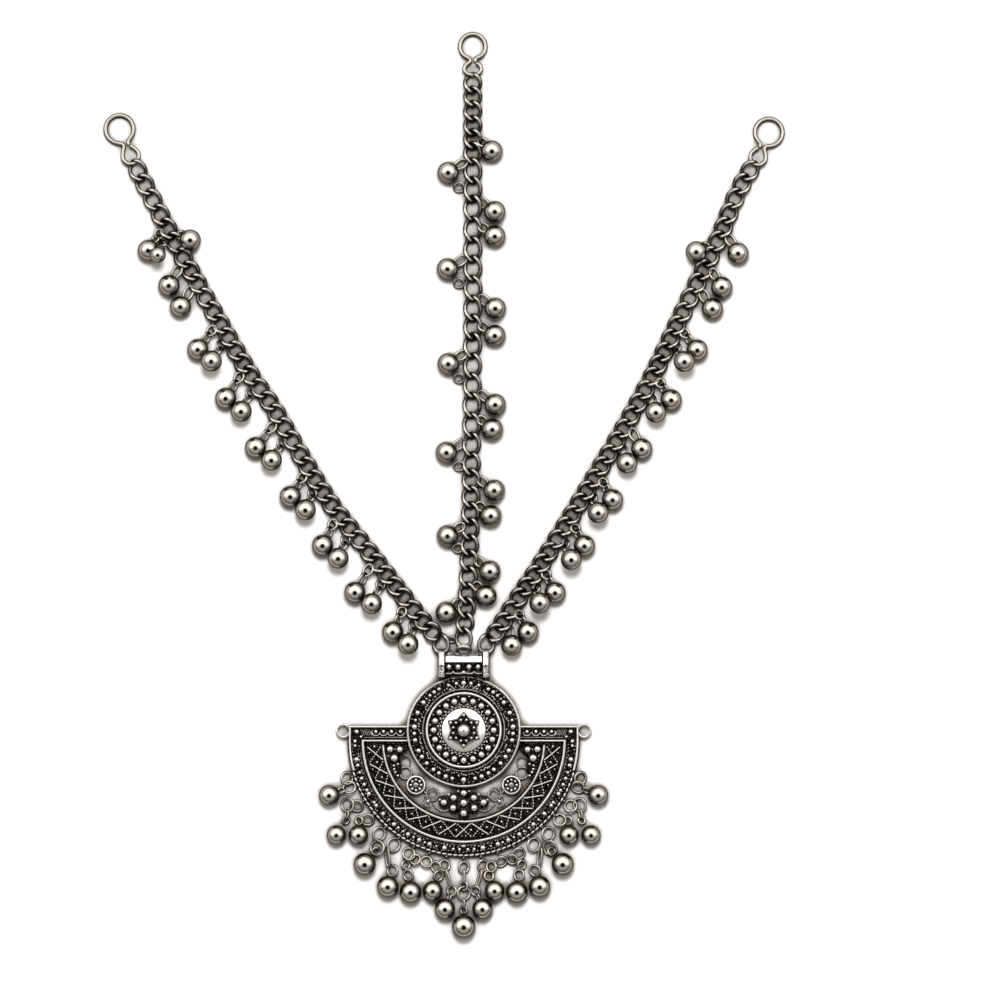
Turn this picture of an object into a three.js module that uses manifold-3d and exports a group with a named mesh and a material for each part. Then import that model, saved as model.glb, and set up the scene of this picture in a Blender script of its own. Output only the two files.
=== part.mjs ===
// A matha patti, a head jewel of oxidised silver metal, laid flat on a table. Millimetres, +Z up.
// The origin is on the table under the middle of the round medallion, and +Y runs up the centre chain.

import * as THREE from "three";
import { mergeVertices } from "three/addons/utils/BufferGeometryUtils.js";
import Module from "manifold-3d";

const wasm = await Module();
wasm.setup();

// Chain and wire stock
const CHAIN_WIRE = 1.0; // thickness of the wire of a chain link or a hook
const LINK_WIDTH = 5.0; // outer width of a chain link, and of the lying chain
const LINK_LENGTH = 6.1; // outer length of a chain link
const CHAIN_THICKNESS = 2.5; // height of the lying chain
const DROP_WIRE = 0.55; // thickness of the wire that carries a fringe ball
const DROP_LINK_WIDTH = 2.6; // outer width of a fringe link
const TIE_WIRE = 0.9; // thickness of the short tie between a chain and its ball

// Balls
const BALL_RADIUS = 2.85;
const SMALL_BALL_RADIUS = 2.2;
const CENTRE_BALL_RADIUS = 3.1;

// Medallion
const DISC_RADIUS = 15.85;
const DISC_RIM_WIDTH = 0.65;
const DISC_FACE_HEIGHT = 2.5; // floor of the granule bands
const DISC_RIM_HEIGHT = 3.0;
const DISC_RIM_SLOPE = 0.13; // how far the rim's inner face leans in
const DISC_RING_RADIUS = 10.5; // outer edge of the raised ring between the granule bands
const DISC_RING_WIDTH = 0.7;
const DISC_PLATE_RADIUS = 6.0; // polished plate in the middle
const DISC_PLATE_HEIGHT = 2.9;
const STAR_TIP_RADIUS = 4.8;
const STAR_NOTCH_RADIUS = 3.1;
const STAR_TOP = 3.5;
const STAR_POINTS = 6;
const BOSS_RADIUS = 1.8;
const GRANULE_RADIUS = 0.87;
const GRANULE_CIRCLE = 8.3;
const GRANULE_COUNT = 20;

// Half-moon plate
const MOON_CENTRE_Y = -3.0; // all its arcs share this centre
const MOON_RADIUS = 32.07;
const MOON_TOP_Y = 1.25;
const MOON_THICKNESS = 1.7;
const MOON_LINE_TOP = 2.3; // top of the raised lines
const RIM_LINE_WIDTH = 0.8;
const FRAME_LINE_RADIUS = 27.65;
const FRAME_TOP_Y = -2.6;
const WINDOW_LINE_RADIUS = 22.25;
const THIN_LINE_WIDTH = 0.6;
const CORNER_EYE_X = 33.3;
const CORNER_EYE_Y = -0.25;
const CORNER_EYE_RADIUS = 1.9;
const CORNER_EYE_WIRE = 0.7;
const CORNER_EYE_HEIGHT = 1.4;

// Pierced work in the window
const BEAD_RADIUS = 0.95;
const DOME_PROFILE = [[0, -0.4], [1, -0.4], [0.8, 0.6], [0, 1]]; // out and up, in radii of the bead
const FLOWER_RADIUS = 2.63;
const SCROLL_RING_WIRE = 0.6;

// Overhang of the rim, which the fringe is tucked under
const RIM_UNDERSIDE = 1.05;
const RIM_FOOT_RADIUS = 30.0; // outside this the plate is clear of the table
const TUCK_RADIUS = 31.0; // where a fringe link's tip lies under the rim
const TUCK_HEIGHT = 0.45;

// Bail
const FLANGE_X = 6.25;
const FLANGE_THICKNESS = 1.9;
const FLANGE_FOOT_Y = 13.4;
const FLANGE_TIP_Y = 22.45;
const FLANGE_HEIGHT = 4.0;
const FLANGE_HOLE_Y = 20.6;
const FLANGE_HOLE_RADIUS = 1.0;
const BARREL_Y = 19.25;
const BARREL_RADIUS = 0.85;
const BARREL_HEIGHT = 2.0;
const BAIL_EYE_Y = 21.3;
const BAIL_EYE_RADIUS = 1.5;
const BAIL_EYE_WIRE = 0.9;
const BAIL_LINK_Y = 21.5; // where the centre chain's last link passes through the eye
const STRAP_TOP = 2.2;
const STRAP_UNDERSIDE = 0.6;
const BAIL_BEAD_RADIUS = 0.8;
const BAIL_BEAD_Y = 17.5;
const BAIL_BEAD_XS = [-4.2, -1.5, 1.5, 4.2];

// Facets of round work
const LINK_SIDES = 10;
const WIRE_SIDES = 5;
const HOOK_WIRE_SIDES = 5;
const HOOK_STEPS = 24;
const TIE_SIDES = 3;
const BALL_ROWS = 4;
const TUBE_SIDES = 8;
const TUBE_STEP = 14; // distance between the sections of a chain's tube
const DISC_SIDES = 26;
const MOON_ARC_STEP = THREE.MathUtils.degToRad(9);
const WELD = 1e-4; // corners closer than this are one corner

// Chains. The route runs from the hook's lower loop to the bail. A ball's place is given along the route
// and out from it, with out positive to the left of the walk from hook to bail.
const CHAINS = {
  left: {
    route: [
      [-92.1, 158.8], [-86.7, 148.0], [-77.6, 130.7], [-67.0, 111.9], [-58.7, 97.8], [-53.2, 89.9],
      [-44.8, 75.6], [-36.6, 62.4], [-26.5, 49.7], [-17.5, 38.0], [-12.2, 31.2], [-8.5, 27.0], [-7.2, 25.4],
    ],
    foot: { x: -FLANGE_X, y: FLANGE_HOLE_Y },
    singles: [
      { along: 25.5, out: -7.5, radius: BALL_RADIUS },
      { along: 28.1, out: -5.6, radius: SMALL_BALL_RADIUS },
      { along: 28.5, out: 4.1, radius: BALL_RADIUS },
    ],
    pairSide: -1,
    pairs: [
      { along: 36.6, out: 7.1, step: 6.6, nextOut: 7.2 },
      { along: 55.8, out: 8.9, step: 4.8, nextOut: 7.2 },
      { along: 70.7, out: 9.2, step: 5.2, nextOut: 7.8 },
      { along: 87.3, out: 9.7, step: 5.2, nextOut: 7.6 },
      { along: 103.6, out: 8.3, step: 5.1, nextOut: 6.7 },
      { along: 118.6, out: 8.8, step: 5.5, nextOut: 7.7 },
      { along: 134.6, out: 9.9, step: 5.3, nextOut: 8.1 },
      { along: 149.5, out: 8.3, step: 4.8, nextOut: 7.2 },
    ],
  },
  centre: {
    route: [
      [2.5, 182.8], [2.5, 144.0], [2.5, 108.4], [2.2, 82.1], [1.9, 59.4], [1.0, 37.3], [0.2, 25.4],
    ],
    foot: { x: 0, y: BAIL_LINK_Y },
    singles: [
      { along: 22.8, out: 5.3, radius: BALL_RADIUS },
      { along: 28.7, out: -6.8, radius: BALL_RADIUS },
      { along: 55.3, out: -7.0, radius: BALL_RADIUS },
      { along: 81.6, out: -6.7, radius: BALL_RADIUS },
      { along: 106.1, out: -6.9, radius: BALL_RADIUS },
      { along: 129.3, out: -6.2, radius: BALL_RADIUS },
      { along: 150.6, out: -5.5, radius: BALL_RADIUS },
    ],
    pairSide: 1,
    pairs: [
      { along: 39.5, out: 6.1, step: 6.8, nextOut: 6.1 },
      { along: 66.2, out: 6.2, step: 7.5, nextOut: 6.1 },
      { along: 92.7, out: 6.4, step: 6.9, nextOut: 5.7 },
      { along: 116.4, out: 6.4, step: 7.0, nextOut: 5.6 },
      { along: 138.6, out: 5.9, step: 6.8, nextOut: 5.2 },
    ],
  },
  right: {
    route: [
      [81.4, 158.4], [76.2, 149.6], [70.5, 135.9], [62.8, 120.1], [57.1, 108.1], [52.2, 97.9],
      [44.3, 83.5], [36.4, 70.2], [28.4, 57.0], [20.7, 44.8], [14.2, 35.1], [9.2, 27.4], [7.6, 25.4],
    ],
    foot: { x: FLANGE_X, y: FLANGE_HOLE_Y },
    singles: [
      { along: 26.6, out: 6.5, radius: BALL_RADIUS },
      { along: 31.2, out: -4.1, radius: BALL_RADIUS },
    ],
    pairSide: 1,
    pairs: [
      { along: 36.8, out: 6.6, step: 6.6, nextOut: 6.9 },
      { along: 55.5, out: 8.0, step: 4.6, nextOut: 6.1 },
      { along: 70.7, out: 7.6, step: 5.0, nextOut: 5.5 },
      { along: 86.2, out: 7.1, step: 5.4, nextOut: 5.6 },
      { along: 102.3, out: 7.4, step: 5.1, nextOut: 5.8 },
      { along: 117.1, out: 7.4, step: 5.1, nextOut: 6.3 },
      { along: 132.1, out: 7.5, step: 4.7, nextOut: 5.6 },
      { along: 145.5, out: 7.3, step: 5.0, nextOut: 5.6 },
    ],
  },
};

// Hooks. Each is one wire: a round eye, a narrow neck and a lower loop that the first chain link goes
// through. reach runs from the middle of the loop to the middle of the eye, and turn leans it left from +Y.
const HOOKS = {
  left: { eye: 3.88, reach: 7.98, loopWidth: 2.3, loopHeight: 2.3, turn: 22.9, side: 1 },
  centre: { eye: 3.52, reach: 6.2, loopWidth: 2.4, loopHeight: 1.7, turn: 0, side: 1 },
  right: { eye: 3.83, reach: 7.45, loopWidth: 2.2, loopHeight: 2.2, turn: -23.6, side: -1 },
};
const HOOK_EYE_ARC = { from: -55, to: 235, count: 8 };
const HOOK_LOOP_ARC = { from: 140, to: 400, count: 6 };
const HOOK_NECK_HALF = 0.7; // half the distance between the wires at the neck
const HOOK_TIP_REACH = 0.4; // how far the wire's end goes back from the loop towards the neck
const HOOK_LOOP_HEIGHT = 1.75; // height of the wire where the chain's first link passes round it
const HOOK_LINK_ALONG = 2.6; // from the middle of the loop to the middle of that link
const HOOK_LINK_ROLL = THREE.MathUtils.degToRad(38);
const TUBE_START = 4.2; // from the middle of the loop to the start of the chain's tube

// Fringe, one half. turn is the angle from straight down at which a drop leaves the rim, across and down
// place the ball, and bend moves the joint between two links towards the middle.
const FRINGE = [
  { turn: 72.3, across: 37.16, down: 17.91, links: 1, bend: 0 },
  { turn: 59.15, across: 35.19, down: 28.92, links: 1, bend: 0 },
  { turn: 50.7, across: 29.08, down: 28.95, links: 1, bend: 0 },
  { turn: 42.25, across: 27.34, down: 36.96, links: 1, bend: 0 },
  { turn: 33.8, across: 20.98, down: 43.16, links: 1, bend: 0 },
  { turn: 25.35, across: 14.68, down: 44.68, links: 1, bend: 0 },
  { turn: 16.9, across: 8.54, down: 44.34, links: 1, bend: 0 },
  { turn: 8.45, across: 5.17, down: 49.37, links: 2, bend: 1.6 },
];
const CENTRE_DROP = { turn: 0, across: 0, down: 54.19, links: 2, bend: 0 };
const DROP_SINK = 0.4; // how deep the last link is soldered into the ball
const DROP_ROLLS = [0, 50].map(THREE.MathUtils.degToRad); // roll of the first and the second link

// Window work, left half, in places measured from the medallion's middle
const CORNER_BEADS = [
  { x: -20.5, y: -5.4 },
  { x: -17.7, y: -5.4 },
  { x: -19.2, y: -7.9 },
];
const CLUSTER_BEADS = [
  { x: 0, y: -17.4 },
  { x: -2.8, y: -18.7 },
  { x: -5.5, y: -20.1 },
  { x: 0, y: -20.2 },
  { x: -2.9, y: -21.5 },
  { x: 0, y: -23.0 },
];
const SCROLL_RINGS = [
  { x: -15.9, y: -11.9, radius: 1.8 },
  { x: -9.5, y: -17.9, radius: 1.9 },
];
const FLOWER = { x: -13.2, y: -15.2 };
const WINDOW_ANGLE = THREE.MathUtils.degToRad(62); // half the window's arc
// The window's edge beside the corner beads, and the left edge of the plate under the bead cluster
const WINDOW_SHOULDER = [[-15.0, -5.0], [-17.2, -8.0], [-17.4, -11.5]];
const CLUSTER_EDGE = [
  [-2.4, -15.0], [-4.6, -17.6], [-8.3, -19.2], [-7.4, -20.9], [-4.0, -22.6], [-2.4, -25.2],
];

const SILVER = { color: 0x9a948c, roughness: 0.3, metalness: 1 };
const POLISHED = { color: 0xb9b2a9, roughness: 0.12, metalness: 1 };
const BLACKENED = { color: 0x6f6a64, roughness: 0.4, metalness: 1 };

// A closed geometry as a solid that can be joined and cut
function solidOf(geometry) {
  const bare = geometry.clone();
  bare.deleteAttribute("normal");
  bare.deleteAttribute("uv");
  const welded = mergeVertices(bare, WELD);
  return new wasm.Manifold(
    new wasm.Mesh({
      numProp: 3,
      vertProperties: welded.attributes.position.array,
      triVerts: new Uint32Array(welded.index.array),
    }),
  );
}

function geometryOf(solid) {
  const mesh = solid.getMesh();
  return new THREE.BufferGeometry()
    .setAttribute("position", new THREE.BufferAttribute(mesh.vertProperties, 3))
    .setIndex(new THREE.BufferAttribute(mesh.triVerts, 1));
}

function joined(geometries) {
  return geometryOf(geometries.map(solidOf).reduce((sum, next) => sum.add(next)));
}

function named(name, geometry, finish) {
  const mesh = new THREE.Mesh(geometry, new THREE.MeshStandardMaterial(finish));
  mesh.name = name;
  return mesh;
}

// A ring or an oval link, flat in XY with its length along X
function wireLink(width, length, wire) {
  const link = new THREE.TorusGeometry((width - wire) / 2, wire / 2, WIRE_SIDES, LINK_SIDES);
  const place = link.attributes.position;
  for (let i = 0; i < place.count; i++) {
    place.setX(i, place.getX(i) + (Math.sign(place.getX(i)) * (length - width)) / 2);
  }
  return link;
}

function flatRing(radius, wire, x, y, z) {
  return wireLink(2 * radius + wire, 2 * radius + wire, wire).translate(x, y, z);
}

// A link whose wire's middle line runs from tip to tip between two points, rolled about that line
function linkBetween(from, to, width, wire, roll) {
  const span = to.clone().sub(from);
  const ahead = span.clone().normalize();
  const aside = new THREE.Vector3(0, 0, 1).cross(ahead).normalize();
  const above = ahead.clone().cross(aside);
  const frame = new THREE.Matrix4().makeBasis(ahead, aside, above);
  frame.setPosition(from.clone().add(to).multiplyScalar(0.5));
  return wireLink(width, span.length() + wire, wire).rotateX(roll).applyMatrix4(frame);
}

// A many-sided section for a swept wire or tube. Its x axis ends up vertical on a level path.
function section(halfHeight, halfWidth, sides, start) {
  const corners = [];
  for (let i = 0; i < sides; i++) {
    const angle = start + (2 * Math.PI * i) / sides;
    corners.push(new THREE.Vector2(halfHeight * Math.cos(angle), halfWidth * Math.sin(angle)));
  }
  return new THREE.Shape(corners);
}

function ball(radius, x, y, z) {
  return new THREE.SphereGeometry(radius, LINK_SIDES, BALL_ROWS).rotateX(Math.PI / 2).translate(x, y, z);
}

// A low bead: a ten-sided dome with a short skirt that sinks into what it is soldered to
function dome(radius, x, y, z) {
  const profile = DOME_PROFILE.map(([out, up]) => new THREE.Vector2(out * radius, up * radius));
  return new THREE.LatheGeometry(profile, LINK_SIDES).rotateX(Math.PI / 2).translate(x, y, z);
}

function plate(shape, bottom, top) {
  const settings = { depth: top - bottom, bevelEnabled: false, curveSegments: 1 };
  return new THREE.ExtrudeGeometry(shape, settings).translate(0, 0, bottom);
}

function polygon(points) {
  return new THREE.Shape(points.map(([x, y]) => new THREE.Vector2(x, y)));
}

// Points on an arc about the half-moon's centre; angle 0 is straight down and left is negative
function moonArc(radius, from, to) {
  const steps = Math.max(1, Math.round(Math.abs(to - from) / MOON_ARC_STEP));
  const points = [];
  for (let i = 0; i <= steps; i++) {
    const angle = from + ((to - from) * i) / steps;
    points.push([radius * Math.sin(angle), MOON_CENTRE_Y - radius * Math.cos(angle)]);
  }
  return points;
}

function mirroredX(points) {
  return points.map(([x, y]) => [-x, y]).reverse();
}

// Chains

function chainRoute(points) {
  return new THREE.CatmullRomCurve3(
    points.map(([x, y]) => new THREE.Vector3(x, y, CHAIN_THICKNESS / 2)),
    false,
    "centripetal",
  );
}

// The place on a route at a distance from its start, moved out to the left of the walk
function besideRoute(route, along, out) {
  const share = Math.min(1, along / route.getLength());
  const ahead = route.getTangentAt(share);
  return route.getPointAt(share).add(new THREE.Vector3(-ahead.y, ahead.x, 0).multiplyScalar(out));
}

function chainTube(route) {
  const length = route.getLength();
  const steps = Math.round((length - TUBE_START) / TUBE_STEP);
  const points = [];
  for (let i = 0; i <= steps; i++) {
    points.push(besideRoute(route, TUBE_START + ((length - TUBE_START) * i) / steps, 0));
  }
  const flats = 1 / Math.cos(Math.PI / TUBE_SIDES);
  const outline = section(
    (CHAIN_THICKNESS / 2) * flats,
    (LINK_WIDTH / 2) * flats,
    TUBE_SIDES,
    Math.PI / TUBE_SIDES,
  );
  return new THREE.ExtrudeGeometry(outline, {
    extrudePath: new THREE.CatmullRomCurve3(points),
    steps,
    bevelEnabled: false,
  });
}

// The list of a chain's balls, singles first
function ballList({ singles, pairs, pairSide }) {
  const paired = pairs.flatMap(({ along, out, step, nextOut }) => [
    { along, out: pairSide * out, radius: BALL_RADIUS },
    { along: along + step, out: pairSide * nextOut, radius: BALL_RADIUS },
  ]);
  return [...singles, ...paired];
}

// A ball lies on the table, or is propped on the chain or on a ball laid before it
function lay(route, { along, out, radius }, laid) {
  const place = besideRoute(route, along, out);
  const gap = Math.abs(out) - LINK_WIDTH / 2;
  const onChain = gap < radius ? CHAIN_THICKNESS / 2 + Math.sqrt(radius ** 2 - gap ** 2) : 0;
  place.z = Math.max(radius, onChain);
  for (const other of laid) {
    const reach = radius + other.radius;
    const apart = Math.hypot(place.x - other.place.x, place.y - other.place.y);
    if (apart < reach) {
      place.z = Math.max(place.z, other.place.z + Math.sqrt(reach ** 2 - apart ** 2));
    }
  }
  return { place, radius, root: besideRoute(route, along, 0) };
}

// A short straight tie from the chain to a ball's middle
function tie(from, to) {
  const line = new THREE.LineCurve3(from, to);
  const outline = section(TIE_WIRE / 2, TIE_WIRE / 2, TIE_SIDES, 0);
  return new THREE.ExtrudeGeometry(outline, { extrudePath: line, steps: 1, bevelEnabled: false });
}

function chain(name) {
  const plan = CHAINS[name];
  const route = chainRoute(plan.route);
  const laid = [];
  for (const item of ballList(plan)) laid.push(lay(route, item, laid));

  const half = (LINK_LENGTH - CHAIN_WIRE) / 2;
  const topFrom = besideRoute(route, HOOK_LINK_ALONG - half, 0).setZ(HOOK_LOOP_HEIGHT);
  const topTo = besideRoute(route, HOOK_LINK_ALONG + half, 0).setZ(HOOK_LOOP_HEIGHT);
  const footFrom = new THREE.Vector3(plan.foot.x, plan.foot.y, BARREL_HEIGHT);
  const footTo = footFrom.clone().add(new THREE.Vector3(0, 2 * half, 0));

  return joined([
    chainTube(route),
    linkBetween(topFrom, topTo, LINK_WIDTH, CHAIN_WIRE, HOOK_LINK_ROLL),
    linkBetween(footFrom, footTo, LINK_WIDTH, CHAIN_WIRE, 0),
    ...laid.map(({ place, root }) => tie(root, place)),
    ...laid.map(({ place, radius }) => ball(radius, place.x, place.y, place.z)),
  ]);
}

// Hooks

function hook({ eye, reach, loopWidth, loopHeight, side }) {
  const far = reach + eye;
  const level = (y) =>
    CHAIN_WIRE / 2 + ((HOOK_LOOP_HEIGHT - CHAIN_WIRE / 2) * (far - y)) / (far + loopHeight);
  const line = [];
  const add = (x, y) => line.push(new THREE.Vector3(side * x, y, level(y)));
  const arc = (middleY, wide, high, { from, to, count }) => {
    for (let i = 0; i <= count; i++) {
      const angle = THREE.MathUtils.degToRad(from + ((to - from) * i) / count);
      add(wide * Math.cos(angle), middleY + high * Math.sin(angle));
    }
  };
  const neck = (reach - eye + loopHeight) / 2;
  add(HOOK_NECK_HALF, neck);
  arc(reach, eye, eye, HOOK_EYE_ARC);
  add(-HOOK_NECK_HALF, neck);
  arc(0, loopWidth, loopHeight, HOOK_LOOP_ARC);
  const end = line.at(-1);
  add(side * end.x, end.y + HOOK_TIP_REACH);
  const wire = section(CHAIN_WIRE / 2, CHAIN_WIRE / 2, HOOK_WIRE_SIDES, 0);
  return new THREE.ExtrudeGeometry(wire, {
    extrudePath: new THREE.CatmullRomCurve3(line, false, "centripetal"),
    steps: HOOK_STEPS,
    bevelEnabled: false,
  });
}

// Fringe

function tuckPlace({ turn }, side) {
  const angle = THREE.MathUtils.degToRad(turn);
  return new THREE.Vector3(
    side * TUCK_RADIUS * Math.sin(angle),
    MOON_CENTRE_Y - TUCK_RADIUS * Math.cos(angle),
    TUCK_HEIGHT,
  );
}

// One drop: a ball and the links that join it to the rim
function drop(plan, radius, side) {
  const start = tuckPlace(plan, side);
  const middle = new THREE.Vector3(side * plan.across, -plan.down, radius);
  const ahead = middle.clone().sub(start).normalize();
  const end = middle.clone().addScaledVector(ahead, DROP_SINK - radius);
  const joints = [];
  for (let i = 0; i <= plan.links; i++) {
    const share = i / plan.links;
    const joint = start.clone().lerp(end, share);
    joint.x -= side * plan.bend * Math.sin(Math.PI * share);
    joints.push(joint);
  }
  const links = joints
    .slice(1)
    .map((joint, i) =>
      linkBetween(joints[i], joint, DROP_LINK_WIDTH, DROP_WIRE, DROP_ROLLS[i % DROP_ROLLS.length]),
    );
  return joined([...links, ball(radius, middle.x, middle.y, middle.z)]);
}

// Pendant

function disc() {
  const ringInner = DISC_RING_RADIUS - DISC_RING_WIDTH;
  const profile = [
    [0, 0],
    [DISC_RADIUS, 0],
    [DISC_RADIUS, DISC_RIM_HEIGHT],
    [DISC_RADIUS - DISC_RIM_WIDTH, DISC_RIM_HEIGHT],
    [DISC_RADIUS - DISC_RIM_WIDTH - DISC_RIM_SLOPE, DISC_FACE_HEIGHT],
    [DISC_RING_RADIUS, DISC_FACE_HEIGHT],
    [DISC_RING_RADIUS, DISC_RIM_HEIGHT],
    [ringInner, DISC_RIM_HEIGHT],
    [ringInner, DISC_FACE_HEIGHT],
    [DISC_PLATE_RADIUS, DISC_FACE_HEIGHT],
    [DISC_PLATE_RADIUS, DISC_PLATE_HEIGHT],
    [0, DISC_PLATE_HEIGHT],
  ].map(([r, z]) => new THREE.Vector2(r, z));
  return new THREE.LatheGeometry(profile, DISC_SIDES).rotateX(Math.PI / 2);
}

function star() {
  const corners = [];
  for (let i = 0; i < 2 * STAR_POINTS; i++) {
    const radius = i % 2 ? STAR_NOTCH_RADIUS : STAR_TIP_RADIUS;
    const angle = Math.PI / 2 + (Math.PI * i) / STAR_POINTS;
    corners.push([radius * Math.cos(angle), radius * Math.sin(angle)]);
  }
  return plate(polygon(corners), DISC_FACE_HEIGHT, STAR_TOP);
}

function granules() {
  const beads = [dome(BOSS_RADIUS, 0, 0, STAR_TOP)];
  for (let i = 0; i < GRANULE_COUNT; i++) {
    const angle = (2 * Math.PI * i) / GRANULE_COUNT;
    const x = GRANULE_CIRCLE * Math.sin(angle);
    const y = GRANULE_CIRCLE * Math.cos(angle);
    beads.push(dome(GRANULE_RADIUS, x, y, DISC_FACE_HEIGHT));
  }
  return beads;
}

// The outline of the half-moon drawn in from its edge: a straight top, upright sides and a half circle
function moonOutline(radius, topY) {
  return [[-radius, topY], ...moonArc(radius, -Math.PI / 2, Math.PI / 2), [radius, topY]];
}

// A raised line of even width that follows such an outline
function moonLine(radius, topY, width) {
  const band = polygon(moonOutline(radius, topY));
  band.holes.push(polygon(moonOutline(radius - width, topY - width)));
  return plate(band, RIM_UNDERSIDE, MOON_LINE_TOP);
}

function moon() {
  const windowArc = moonArc(WINDOW_LINE_RADIUS - THIN_LINE_WIDTH, -WINDOW_ANGLE, WINDOW_ANGLE);
  const opening = polygon([...WINDOW_SHOULDER, ...windowArc, ...mirroredX(WINDOW_SHOULDER)]);
  const body = polygon(moonOutline(MOON_RADIUS, MOON_TOP_Y));
  body.holes.push(opening);
  const windowLine = [
    ...moonArc(WINDOW_LINE_RADIUS, -Math.PI / 2, Math.PI / 2),
    ...moonArc(WINDOW_LINE_RADIUS - THIN_LINE_WIDTH, Math.PI / 2, -Math.PI / 2),
  ];
  const foot = polygon(moonArc(RIM_FOOT_RADIUS, -Math.PI / 2, Math.PI / 2));
  foot.holes.push(opening);
  return [
    plate(foot, 0, MOON_THICKNESS),
    plate(body, RIM_UNDERSIDE, MOON_THICKNESS),
    moonLine(MOON_RADIUS, MOON_TOP_Y, RIM_LINE_WIDTH),
    moonLine(FRAME_LINE_RADIUS, FRAME_TOP_Y, THIN_LINE_WIDTH),
    plate(polygon(windowLine), MOON_THICKNESS / 2, MOON_LINE_TOP),
  ];
}

function cornerEye(side) {
  return flatRing(CORNER_EYE_RADIUS, CORNER_EYE_WIRE, side * CORNER_EYE_X, CORNER_EYE_Y, CORNER_EYE_HEIGHT);
}

// Beads, rings and flower discs that bridge the window, for one side
function windowWork(side) {
  const flower = new THREE.CylinderGeometry(FLOWER_RADIUS, FLOWER_RADIUS, MOON_LINE_TOP, LINK_SIDES);
  flower.rotateX(Math.PI / 2).translate(side * FLOWER.x, FLOWER.y, MOON_LINE_TOP / 2);
  return [
    flower,
    ...SCROLL_RINGS.map(({ x, y, radius }) =>
      flatRing(radius, SCROLL_RING_WIRE, side * x, y, MOON_THICKNESS / 2),
    ),
    ...CORNER_BEADS.map(({ x, y }) => dome(BEAD_RADIUS, side * x, y, MOON_THICKNESS)),
  ];
}

function beadCluster() {
  const beads = CLUSTER_BEADS.flatMap(({ x, y }) => (x ? [[x, y], [-x, y]] : [[x, y]]));
  return [
    plate(polygon([...CLUSTER_EDGE, ...mirroredX(CLUSTER_EDGE)]), 0, MOON_THICKNESS),
    ...beads.map(([x, y]) => dome(BEAD_RADIUS, x, y, MOON_THICKNESS)),
  ];
}

// One upright flange of the bail, with the hole that a side chain's last link goes through
function flange(side) {
  const tip = FLANGE_HEIGHT / 2;
  const outline = new THREE.Shape();
  outline.moveTo(FLANGE_FOOT_Y, 0);
  outline.absarc(FLANGE_TIP_Y - tip, tip, tip, -Math.PI / 2, Math.PI / 2, false);
  outline.lineTo(FLANGE_FOOT_Y, FLANGE_HEIGHT);
  const hole = new THREE.Path();
  hole.absarc(FLANGE_HOLE_Y, BARREL_HEIGHT, FLANGE_HOLE_RADIUS, 0, 2 * Math.PI, true);
  outline.holes.push(hole);
  const settings = { depth: FLANGE_THICKNESS, bevelEnabled: false, curveSegments: LINK_SIDES };
  const upright = new THREE.Matrix4().makeBasis(
    new THREE.Vector3(0, 1, 0),
    new THREE.Vector3(0, 0, 1),
    new THREE.Vector3(1, 0, 0),
  );
  return new THREE.ExtrudeGeometry(outline, settings)
    .applyMatrix4(upright)
    .translate(side * FLANGE_X - FLANGE_THICKNESS / 2, 0, 0);
}

function bail() {
  const strapLength = BARREL_Y - FLANGE_FOOT_Y;
  const strap = new THREE.BoxGeometry(2 * FLANGE_X, strapLength, STRAP_TOP - STRAP_UNDERSIDE);
  strap.translate(0, FLANGE_FOOT_Y + strapLength / 2, (STRAP_TOP + STRAP_UNDERSIDE) / 2);
  const barrel = new THREE.CylinderGeometry(BARREL_RADIUS, BARREL_RADIUS, 2 * FLANGE_X, LINK_SIDES);
  barrel.rotateZ(Math.PI / 2).translate(0, BARREL_Y, BARREL_HEIGHT);
  const eye = flatRing(BAIL_EYE_RADIUS, BAIL_EYE_WIRE, 0, 0, 0);
  eye.rotateY(Math.PI / 2).translate(0, BAIL_EYE_Y, BARREL_HEIGHT);
  const beads = BAIL_BEAD_XS.map((x) => dome(BAIL_BEAD_RADIUS, x, BAIL_BEAD_Y, STRAP_TOP));
  return [flange(-1), flange(1), strap, barrel, eye, ...beads];
}

function pendant() {
  return joined([
    disc(),
    star(),
    ...granules(),
    ...moon(),
    cornerEye(-1),
    cornerEye(1),
    ...windowWork(-1),
    ...windowWork(1),
    ...beadCluster(),
    ...bail(),
  ]);
}

// The whole jewel

const mathaPatti = new THREE.Group();
mathaPatti.name = "matha_patti";
mathaPatti.add(named("pendant", pendant(), BLACKENED));

for (const [name, plan] of Object.entries(HOOKS)) {
  mathaPatti.add(named(`chain_${name}`, chain(name), SILVER));
  const [x, y] = CHAINS[name].route[0];
  const eye = named(`hook_${name}`, hook(plan), SILVER);
  eye.position.set(x, y, 0);
  eye.rotation.z = THREE.MathUtils.degToRad(plan.turn);
  mathaPatti.add(eye);
}

const fringe = new THREE.Group();
const drops = [
  ...FRINGE.map((plan) => drop(plan, BALL_RADIUS, -1)),
  drop(CENTRE_DROP, CENTRE_BALL_RADIUS, 1),
  ...FRINGE.toReversed().map((plan) => drop(plan, BALL_RADIUS, 1)),
];
drops.forEach((geometry, i) => {
  fringe.add(named(`drop_${String(i + 1).padStart(2, "0")}`, geometry, POLISHED));
});
mathaPatti.add(fringe);

export default mathaPatti;
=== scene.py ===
"""Dresses the solids of a matha patti, a head jewel of oxidised silver metal that lies flat on a table."""

import math

import bmesh
import bpy
import numpy as np
from bpy.props import FloatProperty, FloatVectorProperty, PointerProperty
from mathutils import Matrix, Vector
from mathutils.geometry import tessellate_polygon


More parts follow.
